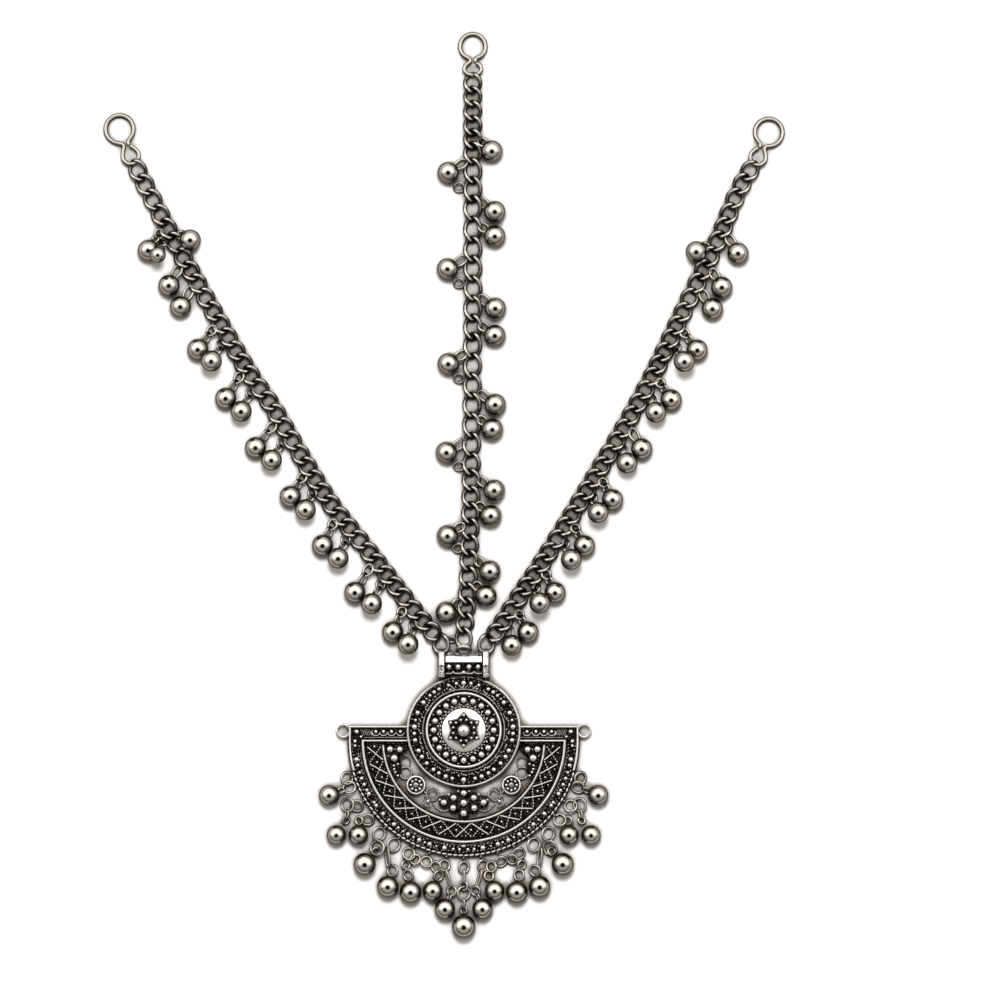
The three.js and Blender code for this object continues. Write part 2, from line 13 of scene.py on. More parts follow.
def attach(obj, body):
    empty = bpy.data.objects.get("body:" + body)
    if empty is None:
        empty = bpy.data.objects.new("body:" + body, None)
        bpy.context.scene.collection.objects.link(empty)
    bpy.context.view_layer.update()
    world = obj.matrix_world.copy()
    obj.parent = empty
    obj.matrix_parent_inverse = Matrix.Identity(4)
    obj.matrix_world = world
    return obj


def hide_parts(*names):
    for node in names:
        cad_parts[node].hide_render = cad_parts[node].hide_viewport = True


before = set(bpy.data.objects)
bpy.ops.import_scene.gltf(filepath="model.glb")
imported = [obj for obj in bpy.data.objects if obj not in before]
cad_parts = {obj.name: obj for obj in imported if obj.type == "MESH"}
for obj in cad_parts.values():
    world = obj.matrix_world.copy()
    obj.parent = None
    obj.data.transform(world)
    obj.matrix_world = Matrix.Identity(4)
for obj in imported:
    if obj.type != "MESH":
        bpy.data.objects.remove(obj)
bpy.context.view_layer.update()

bl_info = {
    "name": "Matha patti",
    "version": (1, 0, 0),
    "blender": (4, 5, 0),
    "location": "3D View > Sidebar > Matha patti",
    "description": "Dresses the solids of a head jewel in linked chain, granulation and oxidised silver",
    "category": "Add Mesh",
}

MM = 0.001
UP = np.array([0.0, 0.0, 1.0])
RIGHT = np.array([1.0, 0.0, 0.0])
TINY = 1e-6

# Points closer than this are welded, in metres, and a sharper bend than this stays an edge
WELD = 1e-7
SHARP_BEND = math.radians(50)
# The least cosine for which a corner of a raised line is still mitred
LEAST_MITRE = 0.4
# Steps of a smooth line between two of its points, and how far it looks back and ahead for its direction
CURVE_STEPS = 40
LOOK = 0.5

# Brightness by the upward part of a surface's direction: where it starts and where it is full. On cast grains
# the darker lower side is partly oxide round the foot and partly painted shade. On wires it is a painted
# highlight along the top with painted shade down the flanks. On the balls the darker sides are painted shade.
WIRE_BRIGHT = (0.74, 1.0)
HOOK_BRIGHT = (0.68, 1.0)
BALL_BRIGHT = (0.42, 0.95)
GRAIN_BRIGHT = (0.0, 0.8)
SPECK_BRIGHT = (-0.1, 0.6)
# The tip of a cut wire: how far it stands out in wire radii, and its wear
TIP_REACH, TIP_WEAR = 0.4, 0.5

# One seed for the spread of the specks and for the play of the links
SPECK_SEED = 11
# Turn of a speck in radians, drawn between these two
SPECK_TURNS = (0, 3.1)
# Stretch of a worm-like speck or dash: along, across and up
WORM = (1.0, 0.45, 0.7)

# Share of red, green and blue that the oxidised metal still mirrors at a glancing angle
EDGE_TINT = (0.42, 0.38, 0.34)
# The part of a noise's range that makes patches, and the wear at which silver starts and is full
NOISE_PART = (0.3, 0.7)
WEAR_ENDS = (0.05, 0.9)
# Grain in millimetres and depth in metres of the rubbing marks
MARK_GRAIN = 0.18
MARK_DEPTH = 0.02 * MM

# Chain routes in millimetres, from the hook's lower loop to the bail. foot is where the last link ends. over
# is 1 where the back of a link rises on the left of the walk, and -1 where it rises on the right. pitch is
# (along, link to link). A ball's place is given along the route and out from it, with out positive to the
# left of the walk. A single is (along, out, kind), a pair is (along, out, step to the next ball, its out) on
# the pair side, and a spare ring, which carries no ball, is (x, y, outer radius).
CHAINS = {
    "left": {
        "route": (
            (-92.1, 158.8), (-86.7, 148.0), (-77.6, 130.7), (-67.0, 111.9), (-58.7, 97.8), (-53.2, 89.9),
            (-44.8, 75.6), (-36.6, 62.4), (-26.5, 49.7), (-17.5, 38.0), (-12.2, 31.2), (-8.5, 27.0),
            (-7.2, 25.4),
        ),
        "foot": (-6.25, 21.4),
        "over": 1,
        "pitch": ((0.0, 4.7), (24.0, 4.6), (40.0, 4.2), (200.0, 4.05)),
        "singles": ((25.5, -7.5, "ball"), (28.1, -5.6, "small_ball"), (28.5, 4.1, "ball")),
        "pair_side": -1,
        "pairs": (
            (36.6, 7.1, 6.6, 7.2), (55.8, 8.9, 4.8, 7.2), (70.7, 9.2, 5.2, 7.8), (87.3, 9.7, 5.2, 7.6),
            (103.6, 8.3, 5.1, 6.7), (118.6, 8.8, 5.5, 7.7), (134.6, 9.9, 5.3, 8.1), (149.5, 8.3, 4.8, 7.2),
        ),
        "spare_rings": (),
    },
    "centre": {
        "route": (
            (2.5, 182.8), (2.5, 144.0), (2.5, 108.4), (2.2, 82.1), (1.9, 59.4), (1.0, 37.3), (0.2, 25.4),
        ),
        "foot": (0.0, 23.0),
        "over": 1,
        "pitch": (
            (0.0, 4.0), (20.0, 4.1), (28.0, 5.6), (100.0, 5.4), (112.0, 4.7), (140.0, 4.4), (170.0, 4.2),
        ),
        "singles": (
            (22.8, 5.3, "ball"), (28.7, -6.8, "ball"), (55.3, -7.0, "ball"), (81.6, -6.7, "ball"),
            (106.1, -6.9, "ball"), (129.3, -6.2, "ball"), (150.6, -5.5, "ball"),
        ),
        "pair_side": 1,
        "pairs": (
            (39.5, 6.1, 6.8, 6.1), (66.2, 6.2, 7.5, 6.1), (92.7, 6.4, 6.9, 5.7), (116.4, 6.4, 7.0, 5.6),
            (138.6, 5.9, 6.8, 5.2),
        ),
        "spare_rings": (
            (-1.3, 150.1, 1.75), (-1.3, 123.6, 1.75), (-1.3, 97.3, 1.75), (-1.3, 73.0, 1.75),
            (-1.6, 50.3, 1.7), (-3.3, 25.0, 1.2),
        ),
    },
    "right": {
        "route": (
            (81.4, 158.4), (76.2, 149.6), (70.5, 135.9), (62.8, 120.1), (57.1, 108.1), (52.2, 97.9),
            (44.3, 83.5), (36.4, 70.2), (28.4, 57.0), (20.7, 44.8), (14.2, 35.1), (9.2, 27.4), (7.6, 25.4),
        ),
        "foot": (6.25, 21.4),
        "over": -1,
        "pitch": ((0.0, 4.5), (35.0, 4.4), (55.0, 4.0), (200.0, 3.9)),
        "singles": ((26.6, 6.5, "ball"), (31.2, -4.1, "ball")),
        "pair_side": 1,
        "pairs": (
            (36.8, 6.6, 6.6, 6.9), (55.5, 8.0, 4.6, 6.1), (70.7, 7.6, 5.0, 5.5), (86.2, 7.1, 5.4, 5.6),
            (102.3, 7.4, 5.1, 5.8), (117.1, 7.4, 5.1, 6.3), (132.1, 7.5, 4.7, 5.6), (145.5, 7.3, 5.0, 5.6),
        ),
        "spare_rings": (),
    },
}
CHAIN_THICKNESS = 2.5
# Least and greatest share of the pitch between two links, and a link's loose turn in degrees
PITCH_PLAY = (0.92, 1.08)
LINK_PLAY = 5.0
# Points round a link and round its wire
LINK_STEPS, LINK_SIDES = 36, 12
# How many links rise to the hook and to the bail, and the last one's height
HOOK_LINKS, BAIL_LINKS = 3, 3.5
BAIL_LINK_HEIGHT = 2.0
# Brightness kept where a link passes lowest under its neighbour, which paints shade there, and the lifts
# between which it grows to full
UNDER_LINK_SHADE = 0.3
UNDER_LIFTS = (-0.65, 0.05)
# Where a ball's first ring leaves the chain: behind the ball, out from the middle and above half height
RING_ROOT_BACK, RING_ROOT_OUT, RING_ROOT_RISE = 3.2, 2.0, 0.2
# How far the last ring goes into its ball, and the longest way that one ring spans alone
BALL_BITE = 0.2
LONGEST_SINGLE_RING = 3.6
WIDEST_RING = 2.5
# Roll of a ball's first and second ring in degrees, by turns to either side
RING_ROLLS = (22, -50)
# Roll of a spare ring in degrees, and its height over the table
SPARE_ROLL = 24
SPARE_CLEARANCE = 0.3

# Hooks: radius of the eye, distance from the lower loop's middle to the eye's, half width and half height of
# the loop, lean from +Y in degrees, and the side that the wire's end lies on
HOOKS = {
    "left": (3.88, 7.98, 2.3, 2.3, 22.9, 1),
    "centre": (3.52, 6.2, 2.4, 1.7, 0.0, 1),
    "right": (3.83, 7.45, 2.2, 2.2, -23.6, -1),
}
# Arcs of the eye and of the loop: first and last angle in degrees, and points
HOOK_EYE_ARC = (-40, 220, 9)
HOOK_LOOP_ARC = (140, 400, 7)
# The neck's half width and place along the hook from the neck's middle, below and above, and the wire's end
HOOK_NECK = ((0.74, -0.15), (0.8, 0.5))
HOOK_END = (1.0, -0.6)
# Points along a hook and round its wire
HOOK_STEPS, HOOK_SIDES = 140, 16
# Height of the lower loop, and how far beyond it the first link's middle lies
HOOK_LOOP_HEIGHT = 1.75
HOOK_LINK_REACH = 2.2

# Fringe, one half. A drop leaves the rim at turn degrees from straight down. A ball is (across, down,
# radius), a ring is (across, down, outer radius), and a link is (start across, start down, end across, end
# down, width).
DROPS = (
    {
        "turn": 72.3,
        "ball": (37.16, 17.91, 2.85),
        "rings": ((32.26, 13.33, 2.02), (31.6, 15.84, 2.02)),
        "links": ((32.9, 16.2, 34.9, 17.1, 1.6),),
    },
    {
        "turn": 59.15,
        "ball": (35.19, 28.92, 2.7),
        "rings": ((29.58, 21.01, 2.02), (32.1, 20.68, 2.18), (32.6, 25.05, 1.33)),
        "links": ((32.2, 22.2, 32.5, 24.3, 1.0),),
    },
    {
        "turn": 50.7,
        "ball": (29.08, 28.95, 2.7),
        "rings": ((26.57, 24.88, 2.02), (28.92, 25.05, 1.4)),
        "links": (),
    },
    {
        "turn": 42.25,
        "ball": (27.34, 36.96, 3.1),
        "rings": ((23.39, 28.72, 2.18), (23.89, 32.59, 2.35), (24.3, 33.59, 1.4)),
        "links": (),
    },
    {
        "turn": 33.8,
        "ball": (20.98, 43.16, 3.0),
        "rings": ((19.38, 31.74, 2.18), (19.71, 38.85, 1.85)),
        "links": ((21.3, 32.6, 20.8, 37.9, 1.35),),
    },
    {
        "turn": 25.35,
        "ball": (14.68, 44.68, 3.0),
        "rings": ((15.18, 34.25, 2.02), (13.4, 35.8, 1.75), (16.01, 37.27, 1.52), (15.34, 40.1, 1.8)),
        "links": (),
    },
    {
        "turn": 16.9,
        "ball": (8.54, 44.34, 2.75),
        "rings": ((10.31, 36.44, 1.85), (7.66, 37.79, 1.75), (6.97, 40.31, 1.66)),
        "links": (),
    },
    {
        "turn": 8.45,
        "ball": (5.17, 49.37, 2.85),
        "rings": ((5.31, 37.46, 1.85), (3.29, 44.48, 1.66)),
        "links": ((5.0, 38.7, 3.6, 43.3, 0.7), (3.7, 45.5, 4.3, 47.0, 0.9)),
    },
)
CENTRE_DROP = {
    "turn": 0.0,
    "ball": (0.0, 54.19, 3.25),
    "rings": ((0.0, 37.96, 1.85), (0.0, 43.13, 1.52), (0.0, 45.15, 2.18), (0.0, 49.85, 1.3)),
    "links": ((0.0, 38.9, 0.0, 42.0, 0.5), (0.0, 46.8, 0.0, 49.0, 0.5)),
}
# The small eyes under the rim: the arc that they lie on, their height, radius and wire
RIM_EYE_ARC, RIM_EYE_HEIGHT, RIM_EYE_RADIUS, RIM_EYE_WIRE = 32.3, 0.8, 0.62, 0.45
# Tilt of a drop's rings in degrees, by turns to either side, their clearance and the lift of every second one
DROP_TILT = 24
DROP_CLEARANCE, DROP_LIFT = 0.05, 0.25
# Roll of a drop's longer links in degrees, and the heights of their two ends
DROP_LINK_ROLL = 40
DROP_LINK_HEIGHTS = (1.3, 1.5)

# The middle of the half-moon's arcs, below the medallion's middle, and their steps in degrees
MOON_CENTRE_Y = -3.0
ARC_STEP = 1.5

# How far the medallion's edge is drawn in at the top, between which radii that grows, and the power that
# keeps it close to the top
RIM_SQUASH = 0.91
SQUASH_FROM, SQUASH_TO = 11.3, 15.0
SQUASH_POWER = 4.5
# Share of the rim's brightness taken off as painted shade close under the bail, between which cosines of the
# turn from the top that grows, and over which width of the rim
RIM_BAIL_SHADE = 0.8
RIM_BAIL_SHADE_FROM = (0.9, 0.955)
RIM_WIDTH = 0.2


def linear_colour(code):
    """An sRGB hex colour as linear red, green and blue."""
    channels = [int(code[i : i + 2], 16) / 255 for i in (1, 3, 5)]
    return [c / 12.92 if c <= 0.04045 else ((c + 0.055) / 1.055) ** 2.4 for c in channels]


def length(name, description, value):
    """A length property, given in millimetres and kept in metres."""
    return FloatProperty(
        name=name, description=description, default=value * MM, min=0.0, unit="LENGTH", precision=5
    )


def colour(name, description, code):
    """A colour property, given as an sRGB hex value."""
    return FloatVectorProperty(
        name=name,
        description=description,
        default=linear_colour(code),
        subtype="COLOR",
        size=3,
        min=0.0,
        max=1.0,
    )


class MathaPattiSizes(bpy.types.PropertyGroup):
    """Stock sizes of the chain, rings and balls."""

    chain_wire: length("Chain wire", "Thickness of the wire of a chain link or hook", 1.12)
    link_overlap: length("Link overlap", "How much longer a chain link is than the pitch", 2.1)
    link_width: length("Link width", "Outer width of a chain link", 5.4)
    link_twist: FloatProperty(
        name="Link twist",
        description="Turn of each end of a curb link out of the level",
        default=math.radians(38),
        subtype="ANGLE",
    )
    ring_wire: length("Jump ring wire", "Thickness of the rings that carry a chain's balls", 0.72)
    drop_wire: length("Fringe wire", "Thickness of the rings that carry a fringe ball", 0.72)
    ball: length("Ball radius", "Radius of a chain ball", 2.95)
    small_ball: length("Small ball radius", "Radius of the small ball near the left hook", 2.2)


class MathaPattiColours(bpy.types.PropertyGroup):
    """Colours of the metal's finishes and of the table."""

    oxide: colour("Oxide", "Blackened recesses", "#070606")
    silver: colour("Rubbed silver", "High spots rubbed bright", "#f3f1ed")
    wire: colour("Wire silver", "Bright side of the chain and rings", "#d3cec8")
    # The wire's dark colour is painted shade on the flanks of the chain, hooks and rings
    wire_painted_shade: colour("Wire oxide", "Dark side of the chain and rings", "#2b2521")
    ball: colour("Ball silver", "Polished balls", "#c0bdb9")
    # Painted shade down the polished balls' sides, standing for the dark surroundings that they mirror
    ball_painted_shade: colour("Ball film", "Thin oxide on the lower side of the balls", "#625b56")
    # Painted contact shade on the table close under the metal
    table_painted_shade: colour("Table shade", "White table where metal lies close to it", "#3a332e")
    table: colour("Table", "White table", "#b6b5b4")
    light: colour("Soft light", "Soft light overhead", "#fffaf5")


def ramp(value, low, high):
    """A smooth step from 0 at low to 1 at high."""
    share = np.clip((np.asarray(value, float) - low) / (high - low), 0, 1)
    return share * share * (3 - 2 * share)


def unit(vectors):
    """Vectors of length one, in the same directions."""
    vectors = np.asarray(vectors, float)
    return vectors / np.linalg.norm(vectors, axis=-1, keepdims=True)


def grid_faces(rows, columns, wrap_rows, wrap_columns):
    """Four-sided faces of a net of points, row by row."""
    row = np.arange(rows if wrap_rows else rows - 1)[:, None]
    column = np.arange(columns if wrap_columns else columns - 1)[None, :]
    next_row = (row + 1) % rows
    next_column = (column + 1) % columns
    corners = (
        row * columns + column,
        row * columns + next_column,
        next_row * columns + next_column,
        next_row * columns + column,
    )
    return np.stack(corners, axis=-1).reshape(-1, 4).tolist()


class Metalwork:
    """Points, faces and wear and shade of one piece, gathered in millimetres. The value is 0 where the oxide
    is left and 1 where it is rubbed off. It is also lowered as painted shade down the sides of the balls,
    wires and grains, where a link passes under its neighbour, behind the bail's barrel and on the rim under
    the bail."""

    def __init__(self):
        self.points = []
        self.wear_and_shade = []
        self.faces = []
        self.total = 0

    def add(self, points, faces, wear_and_shade):
        """Adds a form. Its faces count its own points from 0."""
        points = np.asarray(points, float).reshape(-1, 3)
        self.points.append(points)
        self.wear_and_shade.append(np.broadcast_to(np.asarray(wear_and_shade, float).ravel(), (len(points),)))
        self.faces.extend([[corner + self.total for corner in face] for face in faces])
        self.total += len(points)

    def make(self, name, material, slot, *nodes):
        """Turns the work into an object that rides on the jewel and stands for the named solids."""
        mesh = bpy.data.meshes.new(name)
        mesh.from_pydata((np.concatenate(self.points) * MM).tolist(), [], self.faces)
        # This attribute holds rubbed wear and painted shade together
        wear_and_shade = mesh.attributes.new("wear_and_shade", "FLOAT", "POINT")
        wear_and_shade.data.foreach_set("value", np.concatenate(self.wear_and_shade).astype(np.float32))
        work = bmesh.new()
        work.from_mesh(mesh)
        bmesh.ops.remove_doubles(work, verts=work.verts, dist=WELD)
        bmesh.ops.recalc_face_normals(work, faces=work.faces)
        work.to_mesh(mesh)
        work.free()
        mesh.polygons.foreach_set("use_smooth", np.ones(len(mesh.polygons), bool))
        mesh.set_sharp_from_angle(angle=SHARP_BEND)
        mesh.materials.append(material)
        piece = bpy.data.objects.new(name, mesh)
        bpy.context.scene.collection.objects.link(piece)
        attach(piece, "root")
        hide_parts(*nodes)


def add_wire(work, path, up, radius, closed=True, sides=10, bright=WIRE_BRIGHT, shade=1.0):
    """A round wire along a path. up leans its section. Its upper side is painted bright as a highlight and
    its flanks dark as painted shade, and shade scales that brightness down, as painted shade where a link
    passes under its neighbour.
    """
    path = np.asarray(path, float)
    if closed:
        ahead = unit(np.roll(path, -1, axis=0) - np.roll(path, 1, axis=0))
    else:
        ahead = unit(np.gradient(path, axis=0))
    aside = unit(np.cross(np.broadcast_to(up, path.shape), ahead))
    above = np.cross(ahead, aside)
    angle = 2 * np.pi * np.arange(sides) / sides
    outward = np.cos(angle)[None, :, None] * above[:, None] + np.sin(angle)[None, :, None] * aside[:, None]
    points = path[:, None] + radius * outward
    wear_and_shade = ramp(outward[..., 2], *bright) * np.broadcast_to(shade, len(path))[:, None]
    faces = grid_faces(len(path), sides, closed, True)
    if closed:
        work.add(points, faces, wear_and_shade)
        return
    reach = TIP_REACH * radius
    tips = np.stack([path[0] - reach * ahead[0], path[-1] + reach * ahead[-1]])
    first = len(path) * sides
    last_row = first - sides
    for i in range(sides):
        faces.append([first, (i + 1) % sides, i])
        faces.append([first + 1, last_row + i, last_row + (i + 1) % sides])
    points = np.concatenate([points.reshape(-1, 3), tips])
    work.add(points, faces, np.append(wear_and_shade.ravel(), [TIP_WEAR, TIP_WEAR]))


def add_ring(work, centre, radius, wire, axis, roll, steps=28, **more):
    """A round ring rolled about an axis through its centre. radius is to the middle of the wire."""
    reach = radius * np.asarray(axis, float)
    centre = np.asarray(centre, float)
    add_oval(work, centre - reach, centre + reach, 2 * radius, wire, roll, steps, **more)


def add_oval(work, start, end, width, wire, roll, steps=28, **more):
    """A link whose wire's middle line runs from tip to tip between two points, rolled about that line."""
    start = np.asarray(start, float)
    span = np.asarray(end, float) - start
    ahead = unit(span)
    aside = unit(np.cross(UP, ahead))
    above = np.cross(ahead, aside)
    side = math.cos(roll) * aside + math.sin(roll) * above
    angle = 2 * np.pi * np.arange(steps)[:, None] / steps
    path = start + span / 2 * (1 + np.cos(angle)) + width / 2 * np.sin(angle) * side
    add_wire(work, path, np.cross(ahead, side), wire / 2, **more)


def dome_net(columns, heights):
    """Points of a unit ball or dome that starts at the first height in radians, and its faces."""
    around = 2 * np.pi * np.arange(columns) / columns
    rings = []
    for height in heights:
        reach = math.cos(height)
        level = np.full(columns, math.sin(height))
        rings.append(np.stack([reach * np.cos(around), reach * np.sin(around), level], -1))
    points = np.concatenate([*rings, [[0, 0, 1]], [[0, 0, math.sin(heights[0])]]])
    faces = grid_faces(len(heights), columns, False, True)
    top = len(heights) * columns
    for i in range(columns):
        faces.append([top - columns + i, top - columns + (i + 1) % columns, top])
        faces.append([(i + 1) % columns, i, top + 1])
    return points, faces


GRANULE = dome_net(14, np.radians([-30, 0, 22, 42, 60, 76]))
SPECK = dome_net(8, np.radians([-25, 20, 55]))
BALL = dome_net(44, np.radians(np.linspace(-86, 86, 27)))


def add_granules(
    work, places, radius, height, bright=GRAIN_BRIGHT, stretch=(1, 1, 1), turns=0.0, net=GRANULE
):
    """Small soldered grains, round or stretched along their turn."""
    places = np.asarray(places, float).reshape(-1, 2)
    radii = np.broadcast_to(np.asarray(radius, float), (len(places),))
    turns = np.broadcast_to(np.asarray(turns, float), (len(places),))
    shape, faces = net
    # Darker towards the grain's foot: partly oxide round the base, partly painted shade down its sides
    wear_and_shade = ramp(shape[:, 2], *bright)
    for (x, y), r, turn in zip(places, radii, turns):
        grain = shape * np.asarray(stretch) * r
        c, s = math.cos(turn), math.sin(turn)
        spun_x = c * grain[:, 0] - s * grain[:, 1]
        spun_y = s * grain[:, 0] + c * grain[:, 1]
        work.add(np.stack([spun_x + x, spun_y + y, grain[:, 2] + height], -1), faces, wear_and_shade)


def add_ball(work, centre, radius):
    """A polished ball, with painted shade that deepens down its sides."""
    net, faces = BALL
    work.add(net * radius + centre, faces, ramp(net[:, 2], *BALL_BRIGHT))


# Section of a raised line from edge to edge: across in widths, up in heights, and wear
STRIP_SECTION = (
    (-0.5, 0.0, 0.0), (-0.5, 0.35, 0.2), (-0.4, 0.7, 0.65), (-0.24, 0.92, 1.0), (0.0, 1.02, 1.0),
    (0.24, 0.92, 1.0), (0.4, 0.7, 0.65), (0.5, 0.35, 0.2), (0.5, 0.0, 0.0),
)
# The same for a strip that slopes down to the right of its path
SLOPED_SECTION = (
    (-0.5, 0.0, 0.0), (-0.5, 0.3, 0.5), (-0.44, 0.45, 1.0), (0.0, 0.72, 1.0), (0.42, 1.0, 1.0),
    (0.5, 0.9, 0.4), (0.5, 0.0, 0.0),
)


def add_strip(work, path, width, bottom, top, closed=False, bright=1.0, section=STRIP_SECTION):
    """A raised line along a path in plan, rounded unless another section is given."""
    path = np.asarray(path, float)
    if closed:
        before = unit(path - np.roll(path, 1, axis=0))
        after = unit(np.roll(path, -1, axis=0) - path)
    else:
        steps = unit(np.diff(path, axis=0))
        before = np.concatenate([steps[:1], steps])
        after = np.concatenate([steps, steps[-1:]])
    ahead = unit(before + after)
    mitre = 1 / np.maximum(LEAST_MITRE, np.sum(ahead * after, axis=1))
    left = np.stack([-ahead[:, 1], ahead[:, 0]], -1) * mitre[:, None]
    across, up, wear_and_shade = np.array(section).T
    plan = path[:, None] + width * across[None, :, None] * left[:, None]
    height = np.broadcast_to(bottom + (top - bottom) * up, plan.shape[:2])
    points = np.concatenate([plan, height[..., None]], -1)
    faces = grid_faces(len(path), len(section), closed, True)
    if not closed:
        last = (len(path) - 1) * len(section)
        faces.append(list(range(len(section))))
        faces.append([last + i for i in reversed(range(len(section)))])
    work.add(points, faces, np.broadcast_to(bright * wear_and_shade, plan.shape[:2]))


def add_plate(work, outlines, bottom, top):
    """A flat black plate. The first outline is its edge and the others are holes."""
    outlines = [np.asarray(line, float) for line in outlines]
    plan = np.concatenate(outlines)
    count = len(plan)
    loops = [[Vector((x, y, 0)) for x, y in line] for line in outlines]
    triangles = [list(face) for face in tessellate_polygon(loops)]
    faces = triangles + [[corner + count for corner in reversed(face)] for face in triangles]
    first = 0
    for line in outlines:
        for i in range(len(line)):
            here, there = first + i, first + (i + 1) % len(line)
            faces.append([here, there, there + count, here + count])
        first += len(line)
    low = np.column_stack([plan, np.full(count, bottom)])
    high = np.column_stack([plan, np.full(count, top)])
    work.add(np.concatenate([low, high]), faces, 0.0)


def add_upright(work, outlines, left, right, wear_and_shade):
    """A plate that stands on edge between two places across. Its outlines are along and height, and wear is
    worked out from these."""
    flat = Metalwork()
    add_plate(flat, outlines, left, right)
    along, height, across = np.concatenate(flat.points).T
    work.add(np.stack([across, along, height], -1), flat.faces, wear_and_shade(along, height))


def add_lathe(work, profile, middle=(0.0, 0.0), steps=120):
    """A turned body. The profile gives radius, height and wear from the bottom's middle to the top's."""
    radius, height, wear_and_shade = np.array(profile, float).T
    angle = 2 * np.pi * np.arange(steps) / steps
    x = middle[0] + radius[:, None] * np.cos(angle)
    y = middle[1] + radius[:, None] * np.sin(angle)
    points = np.stack([x, y, np.broadcast_to(height[:, None], x.shape)], -1)
    faces = grid_faces(len(profile), steps, False, True)
    work.add(points, faces, np.repeat(wear_and_shade, steps))


def turned(radius, degrees):
    """Places at a radius about the medallion's middle, turned clockwise from its top."""
    angle = np.radians(degrees)
    return np.stack([radius * np.sin(angle), radius * np.cos(angle)], -1)


def evenly(count, shift=0.0):
    """Turns in degrees that are spread evenly round a circle, moved on by a share of a step."""
    return (np.arange(count) + shift) * 360 / count


def squashed(places):
    """Places of the medallion, drawn in where its edge is flattened under the bail."""
    places = np.array(places, float)
    reach = np.maximum(np.linalg.norm(places[:, :2], axis=1), TINY)
    towards_top = (1 + places[:, 1] / reach) / 2
    inward = RIM_SQUASH * towards_top**SQUASH_POWER * ramp(reach, SQUASH_FROM, SQUASH_TO)
    places[:, :2] *= (1 - inward / reach)[:, None]
    return places


def moon_point(radius, degrees):
    """A place on an arc about the half-moon's centre. 0 is straight down and right is positive."""
    angle = np.radians(degrees)
    return np.stack([radius * np.sin(angle), MOON_CENTRE_Y - radius * np.cos(angle)], -1)


def moon_arc(radius, start, end):
    """Places along such an arc."""
    count = max(2, int(round(abs(end - start) / ARC_STEP)) + 1)
    return moon_point(float(radius), np.linspace(start, end, count))


def both_halves(table):
    """Turns and sizes of one half, with those of the other half added. The middle line isn't doubled."""
    table = np.array(table, float)
    other = table[table[:, 0] % 180 > 0] * (-1, 1)
    return np.concatenate([table, other]).T


def both_sides(places):
    """Places of the left half with their mirror images."""
    places = np.asarray(places, float)
    return np.concatenate([places, places * (-1, 1)])


class ChainLine:
    """A smooth line through a few points, walked by distance from its start."""

    def __init__(self, points):
        points = np.asarray(points, float)
        padded = np.concatenate([[2 * points[0] - points[1]], points, [2 * points[-1] - points[-2]]])
        pieces = []
        share = np.linspace(0, 1, CURVE_STEPS, endpoint=False)[:, None]
        for p0, p1, p2, p3 in zip(padded[:-3], padded[1:-2], padded[2:-1], padded[3:]):
            d0, d1, d2 = (math.sqrt(np.linalg.norm(b - a)) for a, b in ((p0, p1), (p1, p2), (p2, p3)))
            m1 = d1 * ((p1 - p0) / d0 - (p2 - p0) / (d0 + d1) + (p2 - p1) / d1)
            m2 = d1 * ((p2 - p1) / d1 - (p3 - p1) / (d1 + d2) + (p3 - p2) / d2)
            cubic = 2 * p1 - 2 * p2 + m1 + m2
            square = -3 * p1 + 3 * p2 - 2 * m1 - m2
            pieces.append(p1 + share * m1 + share**2 * square + share**3 * cubic)
        self.line = np.concatenate([*pieces, points[-1:]])
        steps = np.linalg.norm(np.diff(self.line, axis=0), axis=1)
        self.walked = np.concatenate([[0], np.cumsum(steps)])
        self.length = self.walked[-1]

    def at(self, along):
        """The place at a distance along the line."""
        return np.array([np.interp(along, self.walked, self.line[:, i]) for i in (0, 1)])

    def ahead(self, along):
        """The direction of the walk there."""
        return unit(self.at(min(along + LOOK, self.length)) - self.at(max(along - LOOK, 0)))

    def beside(self, along, out):
        """The place that lies out to the left of the walk."""
        x, y = self.ahead(along)
        return self.at(along) + out * np.array([-y, x])

    def even(self, count):
        """Places spread evenly along the line."""
        return np.array([self.at(along) for along in np.linspace(0, self.length, count)])


def add_node(tree, kind, links=(), **settings):
    """Adds a shader node. Settings are its own values or its inputs, and links join outputs to its inputs."""
    node = tree.nodes.new(kind)
    for key, value in settings.items():
        if hasattr(node, key):
            setattr(node, key, value)
        else:
            node.inputs[key.replace("_", " ")].default_value = value
    for socket, source in dict(links).items():
        tree.links.new(source, node.inputs[socket])
    return node


def noise(tree, place, grain, detail):
    """A noise with a grain of so many millimetres."""
    links = {"Vector": place}
    scale = 1 / (grain * MM)
    return add_node(tree, "ShaderNodeTexNoise", links, Scale=scale, Detail=detail).outputs["Fac"]


def relief(tree, height, strength, depth):
    """The direction of a surface with a fine relief in it."""
    links = {"Height": height}
    return add_node(tree, "ShaderNodeBump", links, Strength=strength, Distance=depth).outputs["Normal"]


def mapped(tree, value, source, target=(0.0, 1.0), curve="SMOOTHSTEP"):
    """A value moved from one range to another."""
    node = add_node(
        tree,
        "ShaderNodeMapRange",
        {"Value": value},
        interpolation_type=curve,
        From_Min=source[0],
        From_Max=source[1],
        To_Min=target[0],
        To_Max=target[1],
    )
    return node.outputs["Result"]


def two_tones(tree, value, dark, bright, ends=(0.0, 1.0)):
    """A colour that runs from dark to bright as a value goes from one end to the other."""
    node = add_node(tree, "ShaderNodeValToRGB", {"Fac": value})
    for i, tone in enumerate((dark, bright)):
        node.color_ramp.elements[i].position = ends[i]
        node.color_ramp.elements[i].color = (*tone, 1)
    return node.outputs["Color"]


def blank_material(name):
    """A new material and its node tree, which is empty."""
    material = bpy.data.materials.new(name)
    material.use_nodes = True
    material.node_tree.nodes.clear()
    return material, material.node_tree


